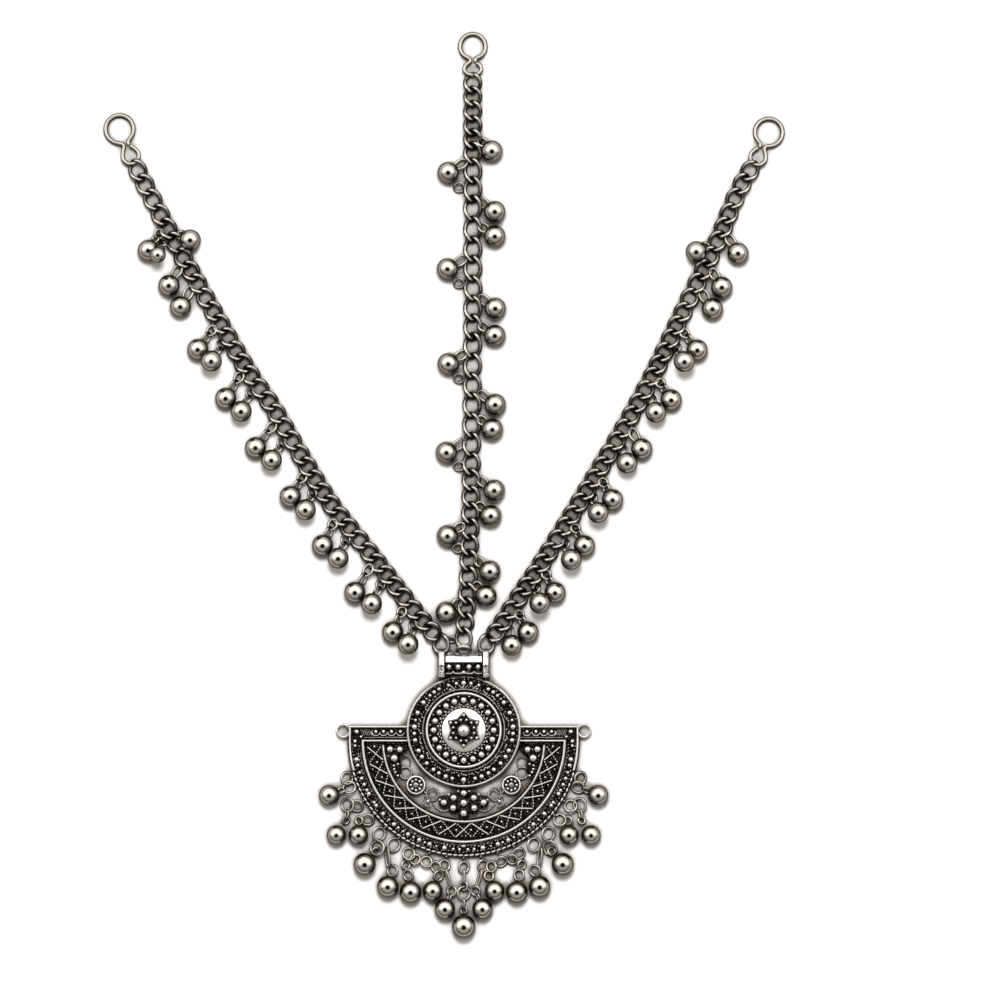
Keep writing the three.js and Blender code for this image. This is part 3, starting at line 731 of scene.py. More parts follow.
def rubbed_metal(name, dark, bright, dark_roughness, bright_roughness, grain, patchy, bump):
    """Antique silver-coloured metal: cast or drawn, dipped in a blackening bath and then rubbed. Black is
    left in the recesses and the high spots shine, with a broken edge between the two and fine rubbing marks.
    The same ramp also shows the painted highlights and painted shade that the wear and shade attribute
    carries."""
    material, tree = blank_material(name)
    place = add_node(tree, "ShaderNodeTexCoord").outputs["Object"]
    wear_and_shade = add_node(tree, "ShaderNodeAttribute", attribute_name="wear_and_shade").outputs["Fac"]
    patches = mapped(tree, noise(tree, place, grain, detail=3.0), NOISE_PART, (-patchy, patchy), "LINEAR")
    mixed = add_node(tree, "ShaderNodeMath", {0: wear_and_shade, 1: patches}, operation="ADD").outputs["Value"]
    shine = mapped(tree, mixed, WEAR_ENDS)
    gloss = mapped(tree, shine, (0.0, 1.0), (dark_roughness, bright_roughness), "LINEAR")
    marks = noise(tree, place, MARK_GRAIN, detail=4.0)
    links = {
        "Base Color": two_tones(tree, shine, dark, bright),
        "Roughness": gloss,
        "Normal": relief(tree, marks, bump, MARK_DEPTH),
    }
    shader = add_node(
        tree, "ShaderNodeBsdfPrincipled", links, Metallic=1.0, Specular_Tint=(*EDGE_TINT, 1)
    )
    add_node(tree, "ShaderNodeOutputMaterial", {"Surface": shader.outputs["BSDF"]})
    return material


def sizes():
    """The stock sizes, in millimetres by name."""
    group = bpy.context.scene.matha_patti_sizes
    named = {key: getattr(group, key) / MM for key in MathaPattiSizes.__annotations__}
    named["link_twist"] = group.link_twist
    return named


def finish(name):
    """A metal finish by name, made the first time it is asked for."""
    if name in bpy.data.materials:
        return bpy.data.materials[name]
    colours = bpy.context.scene.matha_patti_colours
    # A recipe is the dark and the bright colour, the roughness of each, the grain of the patches in
    # millimetres, their strength and the strength of the relief
    recipes = {
        # Cast nickel silver, blackened and rubbed: black floors and bright, slightly soft high spots
        "cast_oxidised_silver": (colours.oxide, colours.silver, 0.5, 0.29, 0.35, 0.4, 0.35),
        # Drawn nickel silver wire, tumbled bright, with a painted highlight along the top and painted shade
        # on the flanks
        "drawn_silver_wire": (colours.wire_painted_shade, colours.wire, 0.45, 0.33, 0.8, 0.14, 0.06),
        # Pressed hollow balls, buffed to a clear mirror, with painted shade darkening down the sides
        "buffed_silver_balls": (colours.ball_painted_shade, colours.ball, 0.24, 0.13, 2.5, 0.05, 0.03),
    }
    return rubbed_metal(name, *recipes[name])


def make_cast(group, **builders):
    """Makes one piece of the cast pendant with each builder, named after the group and the builder."""
    for name, build in builders.items():
        work = Metalwork()
        build(work)
        work.make(f"{group}_{name}", finish("cast_oxidised_silver"), "oxidised_silver", "pendant")


def chain_balls(name):
    """A chain's line and its balls, each on the table or propped on the chain or an earlier ball. A ball is
    (middle, radius, along, out)."""
    plan = CHAINS[name]
    stock = sizes()
    line = ChainLine(plan["route"])
    wanted = [(along, out, stock[kind]) for along, out, kind in plan["singles"]]
    for along, out, step, next_out in plan["pairs"]:
        wanted.append((along, plan["pair_side"] * out, stock["ball"]))
        wanted.append((along + step, plan["pair_side"] * next_out, stock["ball"]))
    laid = []
    chain_half = CHAIN_THICKNESS / 2
    for along, out, radius in wanted:
        x, y = line.beside(along, out)
        gap = abs(out) - stock["link_width"] / 2
        height = max(radius, chain_half + math.sqrt(radius**2 - gap**2) if gap < radius else 0)
        for (other_x, other_y, other_z), other_radius, _, _ in laid:
            reach = radius + other_radius
            apart = math.hypot(x - other_x, y - other_y)
            if apart < reach:
                height = max(height, other_z + math.sqrt(reach**2 - apart**2))
        laid.append((np.array([x, y, height]), radius, along, out))
    return line, laid


class MATHAPATTI_OT_chains(bpy.types.Operator):
    """Lays the three curb chains link by link, with the rings that carry their balls"""

    bl_idname = "matha_patti.chains"
    bl_label = "Curb chains"

    def execute(self, context):
        for name in CHAINS:
            work = Metalwork()
            self.lay_links(work, name)
            self.hang_rings(work, name)
            work.make(f"chain_{name}_links", finish("drawn_silver_wire"), "chain_silver", f"chain_{name}")
        return {"FINISHED"}

    def lay_links(self, work, name):
        """Curb links from hook to bail. Each is twisted, so that it passes over its neighbour on one side and
        under it on the other, and painted shade darkens the wire where it passes under."""
        stock = sizes()
        plan = CHAINS[name]
        pitch_along, pitches = np.array(plan["pitch"]).T
        half_wide = (stock["link_width"] - stock["chain_wire"]) / 2
        last_half = (pitches[-1] + stock["link_overlap"] - stock["chain_wire"]) / 2
        line = ChainLine([*plan["route"][:-1], np.array(plan["foot"]) + (0, last_half)])
        start = HOOKS[name][3] + HOOK_LINK_REACH
        stops = [start]
        draw = np.random.default_rng(SPECK_SEED)
        while stops[-1] < line.length:
            pitch = np.interp(stops[-1], pitch_along, pitches)
            stops.append(stops[-1] + pitch * draw.uniform(*PITCH_PLAY))
        stops = np.array(stops)
        stops = start + (stops - start) * (line.length - start) / (stops[-1] - start)
        count = len(stops)
        angle = 2 * np.pi * np.arange(LINK_STEPS)[:, None] / LINK_STEPS
        for i, along in enumerate(stops):
            last = i == count - 1
            long = (np.interp(along, pitch_along, pitches) + stock["link_overlap"] - stock["chain_wire"]) / 2
            ahead = np.array([0.0, -1.0, 0.0]) if last else np.append(line.ahead(along), 0)
            play = math.radians(draw.uniform(-LINK_PLAY, LINK_PLAY))
            ahead = math.cos(play) * ahead + math.sin(play) * np.cross(UP, ahead)
            aside = np.cross(UP, ahead)
            near_hook = 1 - ramp(i, 0, HOOK_LINKS)
            near_bail = ramp(i, count - BAIL_LINKS, count - 1)
            height = CHAIN_THICKNESS / 2
            height += near_hook * (HOOK_LOOP_HEIGHT - height) + near_bail * (BAIL_LINK_HEIGHT - height)
            back = plan["over"] * stock["link_twist"]
            front = 0.0 if last else -back
            turn = back + (front - back) * (np.cos(angle) + 1) / 2
            wide = half_wide * np.sin(angle)
            spread = long * np.cos(angle) * ahead + wide * np.cos(turn) * aside
            lift = wide * np.sin(turn)
            path = np.append(line.at(along), height) + spread + lift * UP
            up = np.cos(turn) * UP - np.sin(turn) * aside
            # Painted shade where the wire passes under its neighbour
            shade = UNDER_LINK_SHADE + (1 - UNDER_LINK_SHADE) * ramp(lift[:, 0], *UNDER_LIFTS)
            add_wire(work, path, up, stock["chain_wire"] / 2, sides=LINK_SIDES, shade=shade)

    def hang_rings(self, work, name):
        """Jump rings from the chain to its balls, one or two to a ball, and the rings that carry none."""
        stock = sizes()
        line, laid = chain_balls(name)
        wire = stock["ring_wire"]
        for i, (middle, radius, along, out) in enumerate(laid):
            side = math.copysign(1, out)
            root_plan = line.beside(along - RING_ROOT_BACK, side * RING_ROOT_OUT)
            root = np.append(root_plan, CHAIN_THICKNESS / 2 + RING_ROOT_RISE)
            ahead = unit(middle - root)
            span = np.linalg.norm(middle - root) - radius + BALL_BITE
            count = 1 if span < LONGEST_SINGLE_RING else 2
            step = span / count
            sign = 1 if i % 2 else -1
            for k in range(count):
                start = root + (k * step - wire / 2) * ahead
                end = root + ((k + 1) * step + wire / 2) * ahead
                wide = min(step + wire, WIDEST_RING)
                add_oval(work, start, end, wide, wire, math.radians(sign * RING_ROLLS[k]))
        for x, y, outer in CHAINS[name]["spare_rings"]:
            radius = outer - wire / 2
            roll = math.radians(SPARE_ROLL)
            height = wire / 2 + radius * math.sin(roll) + SPARE_CLEARANCE
            add_ring(work, (x, y, height), radius, wire, RIGHT, roll)


class MATHAPATTI_OT_chain_balls(bpy.types.Operator):
    """Sets the polished balls along the three chains"""

    bl_idname = "matha_patti.chain_balls"
    bl_label = "Chain balls"

    def execute(self, context):
        for name in CHAINS:
            work = Metalwork()
            _, laid = chain_balls(name)
            for middle, radius, _, _ in laid:
                add_ball(work, middle, radius)
            buffed = finish("buffed_silver_balls")
            work.make(f"chain_{name}_balls", buffed, "polished_silver", f"chain_{name}")
        return {"FINISHED"}


class MATHAPATTI_OT_hooks(bpy.types.Operator):
    """Bends the three wire hook eyes"""

    bl_idname = "matha_patti.hooks"
    bl_label = "Hook eyes"

    def execute(self, context):
        low = sizes()["chain_wire"] / 2
        eye_arc = np.radians(np.linspace(*HOOK_EYE_ARC))
        loop_arc = np.radians(np.linspace(*HOOK_LOOP_ARC))
        for name, (eye, reach, loop_wide, loop_high, lean, side) in HOOKS.items():
            neck = (reach - eye + loop_high) / 2
            plan = [(wide, neck + rise) for wide, rise in HOOK_NECK]
            plan += [(eye * math.cos(a), reach + eye * math.sin(a)) for a in eye_arc]
            plan += [(-wide, neck + rise) for wide, rise in reversed(HOOK_NECK)]
            plan += [(loop_wide * math.cos(a), loop_high * math.sin(a)) for a in loop_arc]
            plan.append((HOOK_END[0], neck + HOOK_END[1]))
            x, y = ChainLine(plan).even(HOOK_STEPS).T
            far = reach + eye
            height = low + (HOOK_LOOP_HEIGHT - low) * (far - y) / (far + loop_high)
            turn = math.radians(lean)
            start_x, start_y = CHAINS[name]["route"][0]
            across = start_x + math.cos(turn) * side * x - math.sin(turn) * y
            along = start_y + math.sin(turn) * side * x + math.cos(turn) * y
            work = Metalwork()
            path = np.stack([across, along, height], -1)
            add_wire(work, path, UP, low, closed=False, sides=HOOK_SIDES, bright=HOOK_BRIGHT)
            work.make(f"hook_{name}_wire", finish("drawn_silver_wire"), "chain_silver", f"hook_{name}")
        return {"FINISHED"}


class MATHAPATTI_OT_fringe(bpy.types.Operator):
    """Hangs the fringe of balls on its small rings below the half-moon"""

    bl_idname = "matha_patti.fringe"
    bl_label = "Ball fringe"

    def execute(self, context):
        wire = sizes()["drop_wire"]
        drops = [(plan, -1) for plan in DROPS]
        drops.append((CENTRE_DROP, 1))
        drops += [(plan, 1) for plan in reversed(DROPS)]
        for number, (plan, side) in enumerate(drops, 1):
            node = f"drop_{number:02d}"
            rings = Metalwork()
            self.hang(rings, plan, side, wire)
            rings.make(f"{node}_rings", finish("drawn_silver_wire"), "chain_silver", node)
            ball = Metalwork()
            across, down, radius = plan["ball"]
            add_ball(ball, (side * across, -down, radius), radius)
            ball.make(f"{node}_ball", finish("buffed_silver_balls"), "polished_silver", node)
        return {"FINISHED"}

    def hang(self, rings, plan, side, wire):
        """A small eye under the rim, then the rings as they lie, tilted by turns, and the longer links."""
        tilt = math.radians(DROP_TILT)
        start = moon_point(RIM_EYE_ARC, side * plan["turn"])
        out = np.append(unit(start - (0, MOON_CENTRE_Y)), 0)
        eye = np.append(start, RIM_EYE_HEIGHT)
        add_ring(rings, eye, RIM_EYE_RADIUS, RIM_EYE_WIRE, out, math.radians(90), steps=20)
        places = [np.array([side * across, -down]) for across, down, _ in plan["rings"]]
        places.append(np.array([side * plan["ball"][0], -plan["ball"][1]]))
        for i, (_, _, outer) in enumerate(plan["rings"]):
            radius = outer - wire / 2
            axis = np.append(unit(places[i + 1] - places[i]), 0)
            height = wire / 2 + radius * math.sin(tilt) + DROP_CLEARANCE + DROP_LIFT * (i % 2)
            add_ring(rings, np.append(places[i], height), radius, wire, axis, tilt if i % 2 else -tilt)
        low, high = DROP_LINK_HEIGHTS
        for start_x, start_y, end_x, end_y, width in plan["links"]:
            first = (side * start_x, -start_y, low)
            last = (side * end_x, -end_y, high)
            add_oval(rings, first, last, width, wire, math.radians(DROP_LINK_ROLL))


class MATHAPATTI_OT_medallion(bpy.types.Operator):
    """Turns the round medallion and solders its granules, plate and star"""

    bl_idname = "matha_patti.medallion"
    bl_label = "Medallion"

    # The turned body: radius, height and wear
    PROFILE = (
        (0, 0, 0), (15.7, 0, 0), (15.85, 0.3, 0.1), (15.85, 2.3, 0.3), (15.82, 2.7, 0.5), (15.68, 2.9, 0.85),
        (15.48, 3.03, 1), (15.28, 2.9, 0.9), (15.15, 2.65, 0.3), (15.08, 2.45, 0), (11.5, 2.45, 0),
        (11.42, 2.62, 0.45), (11.3, 2.7, 0.6), (11.18, 2.62, 0.45), (11.1, 2.4, 0), (10.62, 2.35, 0),
        (10.55, 2.75, 0.6), (10.42, 2.95, 1), (10.2, 3.06, 1), (9.98, 2.95, 1), (9.85, 2.75, 0.6),
        (9.78, 2.45, 0), (6.3, 2.45, 0), (6.1, 2.5, 0.1), (6.05, 2.75, 0.7), (5.95, 2.88, 1), (3.4, 3.4, 1),
        (0, 3.4, 1),
    )
    FACE = 2.45
    # Outer granules of one half: degrees from the top, and radius. They lie on one circle.
    OUTER_GRANULES = (
        (0, 0.76), (8.9, 0.57), (18.7, 0.5), (31, 0.57), (37.9, 0.62), (44.3, 0.5), (50, 0.34), (55.5, 0.69),
        (69.4, 0.73), (78.3, 0.46), (86.2, 0.8), (94, 0.6), (101.7, 0.69), (114.5, 0.69), (122.6, 0.69),
        (131.9, 0.64), (142.6, 0.64), (150, 0.6), (158.8, 0.69), (166.7, 0.57), (180, 0.8),
    )
    OUTER_CIRCLE = 13.7
    # Bands of specks: count, least and greatest circle, least and greatest radius
    WORM_BAND = (110, 11.8, 12.7, 0.24, 0.46)
    SPECK_BAND = (64, 14.5, 14.9, 0.12, 0.22)
    # Slanted bars of the right half: upper end, lower end, width, top and wear
    BARS = (
        ((1.15, 12.45), (0.1, 11.35), 0.22, 2.75, 0.7),
        ((3.75, 12.35), (2.45, 11.25), 0.36, 2.9, 1.0),
    )
    BAR_FOOT = 2.4
    # Rings of grains: count, shift in steps, circle, radius, foot and shape
    INNER_RINGS = (
        (20, 0.0, 8.3, 0.9, 2.55, GRANULE),
        (20, 0.5, 9.4, 0.26, FACE, SPECK),
        (20, 0.5, 7.2, 0.3, FACE, SPECK),
        (36, 0.5, 6.95, 0.2, FACE, SPECK),
    )
    # The collar of dashes: count, circle, radius and foot
    COLLAR = (36, 6.5, 0.42, 2.6)
    # The star: tips, points round its edge, radius in its hollows, rise of its tips, power of its hollow
    # sides, and the radius at which its tips are cut off
    STAR_TIPS, STAR_STEPS = 6, 144
    STAR_HOLLOW, STAR_RISE, STAR_POWER, STAR_TIP = 3.75, 1.5, 1.7, 5.1
    STAR_FOOT, STAR_TOP = 2.85, 3.55
    # Its bright edge: share of the outline, width, foot, height over the star and wear
    STAR_EDGE = (0.94, 0.2, 3.4, 0.12, 0.5)
    STAR_RINGS = (
        (6, 0.0, 4.2, 0.45, STAR_TOP, GRANULE),
        (12, 0.5, 2.96, 0.38, STAR_TOP, GRANULE),
        (1, 0.0, 0.0, 1.83, STAR_TOP, GRANULE),
    )

    def execute(self, context):
        make_cast("medallion", body=self.body, granules=self.granules, star=self.star)
        return {"FINISHED"}

    def body(self, work):
        """The turned body, drawn in at the top of its rim, where the bail is, with painted shade on the rim
        there.
        """
        add_lathe(work, self.PROFILE, steps=144)
        points = work.points[0]
        reach = np.maximum(np.linalg.norm(points[:, :2], axis=1), TINY)
        # Painted shade on the rim close under the bail
        near_top = ramp(points[:, 1] / reach, *RIM_BAIL_SHADE_FROM)
        on_rim = ramp(reach, SQUASH_TO - RIM_WIDTH, SQUASH_TO)
        work.wear_and_shade[0] = work.wear_and_shade[0] * (1 - RIM_BAIL_SHADE * (near_top * on_rim))
        work.points[0] = squashed(points)

    def granules(self, work):
        """The outer and the inner band."""
        self.outer_band(work)
        self.inner_band(work)

    def specks(self, draw, count, low, high, least, greatest):
        """Places and radii of specks that lie loosely round a band."""
        spread = evenly(count) + draw.uniform(-1, 1, count)
        places = squashed(turned(draw.uniform(low, high, count), spread))
        return places, draw.uniform(least, greatest, count)

    def outer_band(self, work):
        """Granules of uneven size with specks on both sides, and two pairs of slanted bars at the top."""
        turns, radii = both_halves(self.OUTER_GRANULES)
        add_granules(work, squashed(turned(self.OUTER_CIRCLE, turns)), radii, self.FACE)
        draw = np.random.default_rng(SPECK_SEED)
        places, radii = self.specks(draw, *self.WORM_BAND)
        lean = draw.uniform(*SPECK_TURNS, len(places))
        add_granules(work, places, radii, self.FACE, SPECK_BRIGHT, WORM, lean, SPECK)
        places, radii = self.specks(draw, *self.SPECK_BAND)
        add_granules(work, places, radii, self.FACE, net=SPECK)
        for side in (-1, 1):
            for upper, lower, width, top, bright in self.BARS:
                bar = np.array([upper, lower]) * (side, 1)
                add_strip(work, bar, width, self.BAR_FOOT, top, bright=bright)

    def rings(self, work, table):
        """Rings of grains about the medallion's middle."""
        for count, shift, circle, radius, foot, net in table:
            add_granules(work, turned(circle, evenly(count, shift)), radius, foot, net=net)

    def inner_band(self, work):
        """Twenty large granules with tiny ones between, and the collar of dashes round the plate."""
        self.rings(work, self.INNER_RINGS)
        count, circle, radius, foot = self.COLLAR
        turns = evenly(count)
        add_granules(work, turned(circle, turns), radius, foot, stretch=WORM, turns=-np.radians(turns))

    def star(self, work):
        """A six-pointed star with hollow sides and a bright edge, set with granules round a boss."""
        turns = evenly(self.STAR_STEPS)
        half = 180 / self.STAR_TIPS
        from_tip = np.abs((turns + half) % (2 * half) - half) / half
        rise = self.STAR_RISE * (1 - from_tip) ** self.STAR_POWER
        reach = np.minimum(self.STAR_TIP, self.STAR_HOLLOW + rise)
        outline = turned(reach, turns)
        add_plate(work, [outline], self.STAR_FOOT, self.STAR_TOP)
        share, width, foot, over, bright = self.STAR_EDGE
        add_strip(work, outline * share, width, foot, self.STAR_TOP + over, closed=True, bright=bright)
        self.rings(work, self.STAR_RINGS)


class MATHAPATTI_OT_half_moon(bpy.types.Operator):
    """Builds the half-moon plate with its rims, granule band, lattice band and top bar"""

    bl_idname = "matha_patti.half_moon"
    bl_label = "Half-moon"

    # The plate: its circle, place along of its corners, the undercut's circle and top, the foot of the part
    # above it, and the top
    EDGE_CIRCLE, CORNER_Y, FOOT_CIRCLE = 32.07, 1.25, 30.0
    UNDERCUT_TOP, PLATE_FOOT, PLATE_TOP = 1.1, 1.05, 1.7
    # The window's edge: its left shoulder, then an arc of a radius between two turns to either side
    SHOULDER = ((-15.5, -4.8), (-16.5, -6.4), (-17.8, -7.6), (-17.4, -9.4), (-17.2, -11.4), (-17.9, -12.8))
    WINDOW_CIRCLE, WINDOW_TURN = 21.65, 62
    LINE_FOOT, LINE_TOP = 1.5, 2.3
    # Level lines of the right half: outer and inner end across, place along, width, top and wear
    LEVEL_LINES = (
        (31.9, 14.3, 0.9, 0.62, LINE_TOP, 1.0),
        (28.15, 14.9, -2.95, 0.66, LINE_TOP, 1.0),
        (27.5, 15.4, -2.05, 0.24, 1.95, 0.7),
    )
    # Arcs: radius, turn of their ends to either side, width, foot, top and wear
    ARC_LINES = (
        (27.9, 90, 0.8, LINE_FOOT, LINE_TOP, 1.0),
        (28.75, 84, 0.2, LINE_FOOT, 1.9, 0.5),
        (22.3, 87, 0.8, 1.2, LINE_TOP, 1.0),
    )
    # The smooth upper part of the rim: circle, upper end along, turn where the rope starts, and width
    UPPER_RIM = (31.45, 1.1, 75, 0.66)
    # A corner eyelet: place, radius, wire, and where its brightness by direction starts and is full, its
    # darker flanks being painted shade
    EYELET, EYELET_RADIUS, EYELET_WIRE = (33.3, -0.25, 1.4), 1.74, 0.76
    EYELET_BRIGHT = (0.3, 1.0)
    # The rope: first and last turn and step, circle, lean of a strand, its radius, foot and stretch
    ROPE_TURNS, ROPE_CIRCLE, ROPE_LEAN = (-73, 73.1, 2.75), 31.65, 7
    ROPE_GRAIN, ROPE_FOOT, ROPE_STRETCH = 0.74, 1.75, (1, 0.4, 0.62)
    # Band granules of one half: degrees from straight down, and radius. They lie on one circle.
    BAND_GRANULES = (
        (89.8, 0.48), (87.4, 0.4), (80.2, 0.64), (77, 0.51), (73.1, 0.4), (69.8, 0.51), (66.3, 0.48),
        (63, 0.45), (60.8, 0.56), (55.5, 0.45), (53.5, 0.5), (47.9, 0.58), (43.5, 0.35), (39.9, 0.6),
        (37, 0.4), (33.8, 0.35), (30.8, 0.6), (27.5, 0.35), (24.2, 0.6), (21, 0.35), (18.3, 0.62),
        (14.5, 0.3), (10.2, 0.7), (5.5, 0.42), (2.2, 0.42),
    )
    BAND_CIRCLE, BAND_SWELL, BAND_BRIGHT = 30.05, 1.1, (-0.2, 0.5)
    # The long grain at the lowest place: circle, radius and stretch
    LOW_CIRCLE, LOW_GRAIN, LOW_STRETCH = 29.1, 0.7, (1, 0.6, 0.8)
    # The band's specks: count, turn of the first and last, loose turn, inner and outer circle, and radius
    SPECKS, SPECK_END, SPECK_PLAY = 190, 88, 0.4
    SPECK_INNER, SPECK_OUTER, SPECK_RADIUS = (28.9, 29.4), (30.5, 30.9), (0.15, 0.3)
    SPECK_STRETCH = (1.0, 0.6, 0.7)
    # The lattice: cells to a side, turn from one to the next, turn left free beside each, circles of its two
    # edges, and foot, top and width of its smooth wire
    LATTICE_CELLS, LATTICE_PITCH, LATTICE_FREE = 9, 10.2, 0.35
    LATTICE_OUTER, LATTICE_INNER = 26.7, 22.95
    LATTICE_FOOT, LATTICE_TOP, LATTICE_WIRE = 1.6, 2.05, 0.4
    # The granule in each gap: circle, radius, wear and painted shade by direction, and stretch
    GAP_CIRCLE, GAP_GRAIN, GAP_BRIGHT, GAP_STRETCH = 24.7, 0.4, (0.25, 1.1), (1, 0.8, 1)
    # The speck above each crossing: circle, turn beside it, radius, foot, and wear and painted shade by
    # direction
    PEAK_CIRCLE, PEAK_TURN, PEAK_GRAIN, PEAK_FOOT, PEAK_BRIGHT = 26.3, 1.2, 0.22, 1.65, (0, 0.9)
    # Length of a twisted wire's dash, its share of that length, foot and stretch
    DASH_LONG, DASH_SHARE, DASH_FOOT, DASH_STRETCH = 0.85, 0.43, 1.7, (1, 0.56, 0.9)
    # The top bar, left half: corner grains and radii, scallops with grain, radius and arc, hatching with
    # count, first place across, step, half lean and ends along, and an arrow
    CORNER_GRAINS = (((-29.6, -0.46), 0.67), ((-28.4, -1.85), 0.4))
    SCALLOPS = ((-24.3, -0.41), (-22.2, -0.41), (-19.96, -0.41), (-17.5, -0.41))
    SCALLOP_GRAIN, SCALLOP_RADIUS, SCALLOP_ARC = 0.5, 1.12, (190, 350, 13)
    HATCHES, HATCH_START, HATCH_STEP, HATCH_LEAN = 6, -28.2, 0.48, 0.3
    HATCH_ENDS = (0.15, -1.45)
    ARROW = ((-25.1, -0.1), (-25.6, -0.77), (-25.1, -1.45))
    # Fine lines of the bar: foot, and width, top and wear of each kind
    FINE_FOOT = 1.6
    SCALLOP_LINE, HATCH_LINE, ARROW_LINE = (0.28, 2.0, 0.9), (0.2, 1.95, 0.75), (0.26, 2.0, 0.9)

    def execute(self, context):
        make_cast(
            "half_moon",
            plate=self.plate,
            lines=self.lines,
            rope_rim=self.rope_rim,
            granules=self.granules,
            lattice=self.lattice,
            top_bar=self.top_bar,
        )
        return {"FINISHED"}

    def plate(self, work):
        """The pierced plate, undercut below its rim."""
        corner = np.array((self.EDGE_CIRCLE, self.CORNER_Y))
        edge = [corner * (-1, 1), *moon_arc(self.EDGE_CIRCLE, -90, 90), corner]
        shoulder = np.array(self.SHOULDER)
        sill = moon_arc(self.WINDOW_CIRCLE, -self.WINDOW_TURN, self.WINDOW_TURN)
        window = [*shoulder, *sill, *(shoulder[::-1] * (-1, 1))]
        add_plate(work, [moon_arc(self.FOOT_CIRCLE, -90, 90), window], 0.0, self.UNDERCUT_TOP)
        add_plate(work, [edge, window], self.PLATE_FOOT, self.PLATE_TOP)

    def lines(self, work):
        """The raised lines: top edge, upper rim, frame, window edge, and the eyelets at the two corners."""
        foot, top = self.LINE_FOOT, self.LINE_TOP
        circle, rim_top, rope_turn, rim_wide = self.UPPER_RIM
        for side in (-1, 1):
            for outer, inner, y, width, line_top, bright in self.LEVEL_LINES:
                add_strip(work, [(side * outer, y), (side * inner, y)], width, foot, line_top, bright=bright)
            rim = [(side * circle, rim_top), *moon_arc(circle, side * 90, side * rope_turn)]
            add_strip(work, rim, rim_wide, foot, top)
            eyelet = np.array(self.EYELET) * (side, 1, 1)
            sizes_mm = (self.EYELET_RADIUS, self.EYELET_WIRE)
            add_ring(work, eyelet, *sizes_mm, RIGHT, 0.0, steps=36, bright=self.EYELET_BRIGHT)
        for radius, turn, width, line_foot, line_top, bright in self.ARC_LINES:
            add_strip(work, moon_arc(radius, -turn, turn), width, line_foot, line_top, bright=bright)

    def rope_rim(self, work):
        """The lower rim, a twisted rope that shows as a row of leaning dashes."""
        bearing = np.arange(*self.ROPE_TURNS)
        turns = np.radians(bearing + self.ROPE_LEAN)
        places = moon_point(self.ROPE_CIRCLE, bearing)
        add_granules(work, places, self.ROPE_GRAIN, self.ROPE_FOOT, stretch=self.ROPE_STRETCH, turns=turns)

    def granules(self, work):
        """The outer band's granules of uneven size among fine specks."""
        turns, radii = both_halves(self.BAND_GRANULES)
        places = moon_point(self.BAND_CIRCLE, turns)
        add_granules(work, places, self.BAND_SWELL * radii, self.PLATE_TOP, self.BAND_BRIGHT)
        lowest = [moon_point(self.LOW_CIRCLE, 0.0)]
        add_granules(work, lowest, self.LOW_GRAIN, self.PLATE_TOP, stretch=self.LOW_STRETCH)
        draw = np.random.default_rng(SPECK_SEED)
        count, end, play = self.SPECKS, self.SPECK_END, self.SPECK_PLAY
        spread = np.linspace(-end, end, count) + draw.uniform(-play, play, count)
        inner = draw.uniform(*self.SPECK_INNER, count)
        outer = draw.uniform(*self.SPECK_OUTER, count)
        places = moon_point(np.where(np.arange(count) % 2, inner, outer), spread)
        radii = draw.uniform(*self.SPECK_RADIUS, count)
        lean = draw.uniform(*SPECK_TURNS, count)
        add_granules(work, places, radii, self.PLATE_TOP, SPECK_BRIGHT, self.SPECK_STRETCH, lean, SPECK)

    def lattice(self, work):
        """Crossing wires, one smooth and one twisted, with a dull granule in each gap."""
        half = self.LATTICE_PITCH / 2 - self.LATTICE_FREE
        outer, inner = self.LATTICE_OUTER, self.LATTICE_INNER
        for side in (-1, 1):
            for i in range(self.LATTICE_CELLS):
                middle = i * self.LATTICE_PITCH
                turns = side * np.array([middle + half, middle - half])
                gap = [moon_point(self.GAP_CIRCLE, side * (middle + half))]
                add_granules(
                    work, gap, self.GAP_GRAIN, self.LATTICE_FOOT, self.GAP_BRIGHT, self.GAP_STRETCH, i
                )
                peak = [moon_point(self.PEAK_CIRCLE, side * (middle + self.PEAK_TURN))]
                add_granules(work, peak, self.PEAK_GRAIN, self.PEAK_FOOT, self.PEAK_BRIGHT, net=SPECK)
                if i == 0 and side == 1:
                    continue
                smooth = moon_point(np.array([outer, inner]), turns)
                add_strip(work, smooth, self.LATTICE_WIRE, self.LATTICE_FOOT, self.LATTICE_TOP)
                self.dash(work, *moon_point(np.array([inner, outer]), turns))

    def dash(self, work, start, end):
        """A line of short rubbed dashes, as a twisted wire shows."""
        span = end - start
        reach = np.linalg.norm(span)
        count = max(2, int(round(reach / self.DASH_LONG)))
        share = (np.arange(count) + 0.5) / count
        turn = math.atan2(span[1], span[0])
        places = start + share[:, None] * span
        radius = reach / count * self.DASH_SHARE
        add_granules(work, places, radius, self.DASH_FOOT, stretch=self.DASH_STRETCH, turns=turn)

    def fine_line(self, work, points, line):
        """A fine raised line of one of the bar's kinds."""
        width, top, bright = line
        add_strip(work, points, width, self.FINE_FOOT, top, bright=bright)

    def top_bar(self, work):
        """Corner granules, slanted hatching and a row of granules in scallops."""
        for place, radius in self.CORNER_GRAINS:
            add_granules(work, both_sides([place]), radius, self.PLATE_TOP)
        scallops = both_sides(self.SCALLOPS)
        add_granules(work, scallops, self.SCALLOP_GRAIN, self.PLATE_TOP)
        angle = np.radians(np.linspace(*self.SCALLOP_ARC))
        curve = self.SCALLOP_RADIUS * np.stack([np.cos(angle), np.sin(angle)], -1)
        for place in scallops:
            self.fine_line(work, place + curve, self.SCALLOP_LINE)
        upper, lower = self.HATCH_ENDS
        for side in (-1, 1):
            for i in range(self.HATCHES):
                x = self.HATCH_START + self.HATCH_STEP * i
                hatch = [(side * (x - self.HATCH_LEAN), upper), (side * (x + self.HATCH_LEAN), lower)]
                self.fine_line(work, hatch, self.HATCH_LINE)
            self.fine_line(work, np.array(self.ARROW) * (-side, 1), self.ARROW_LINE)


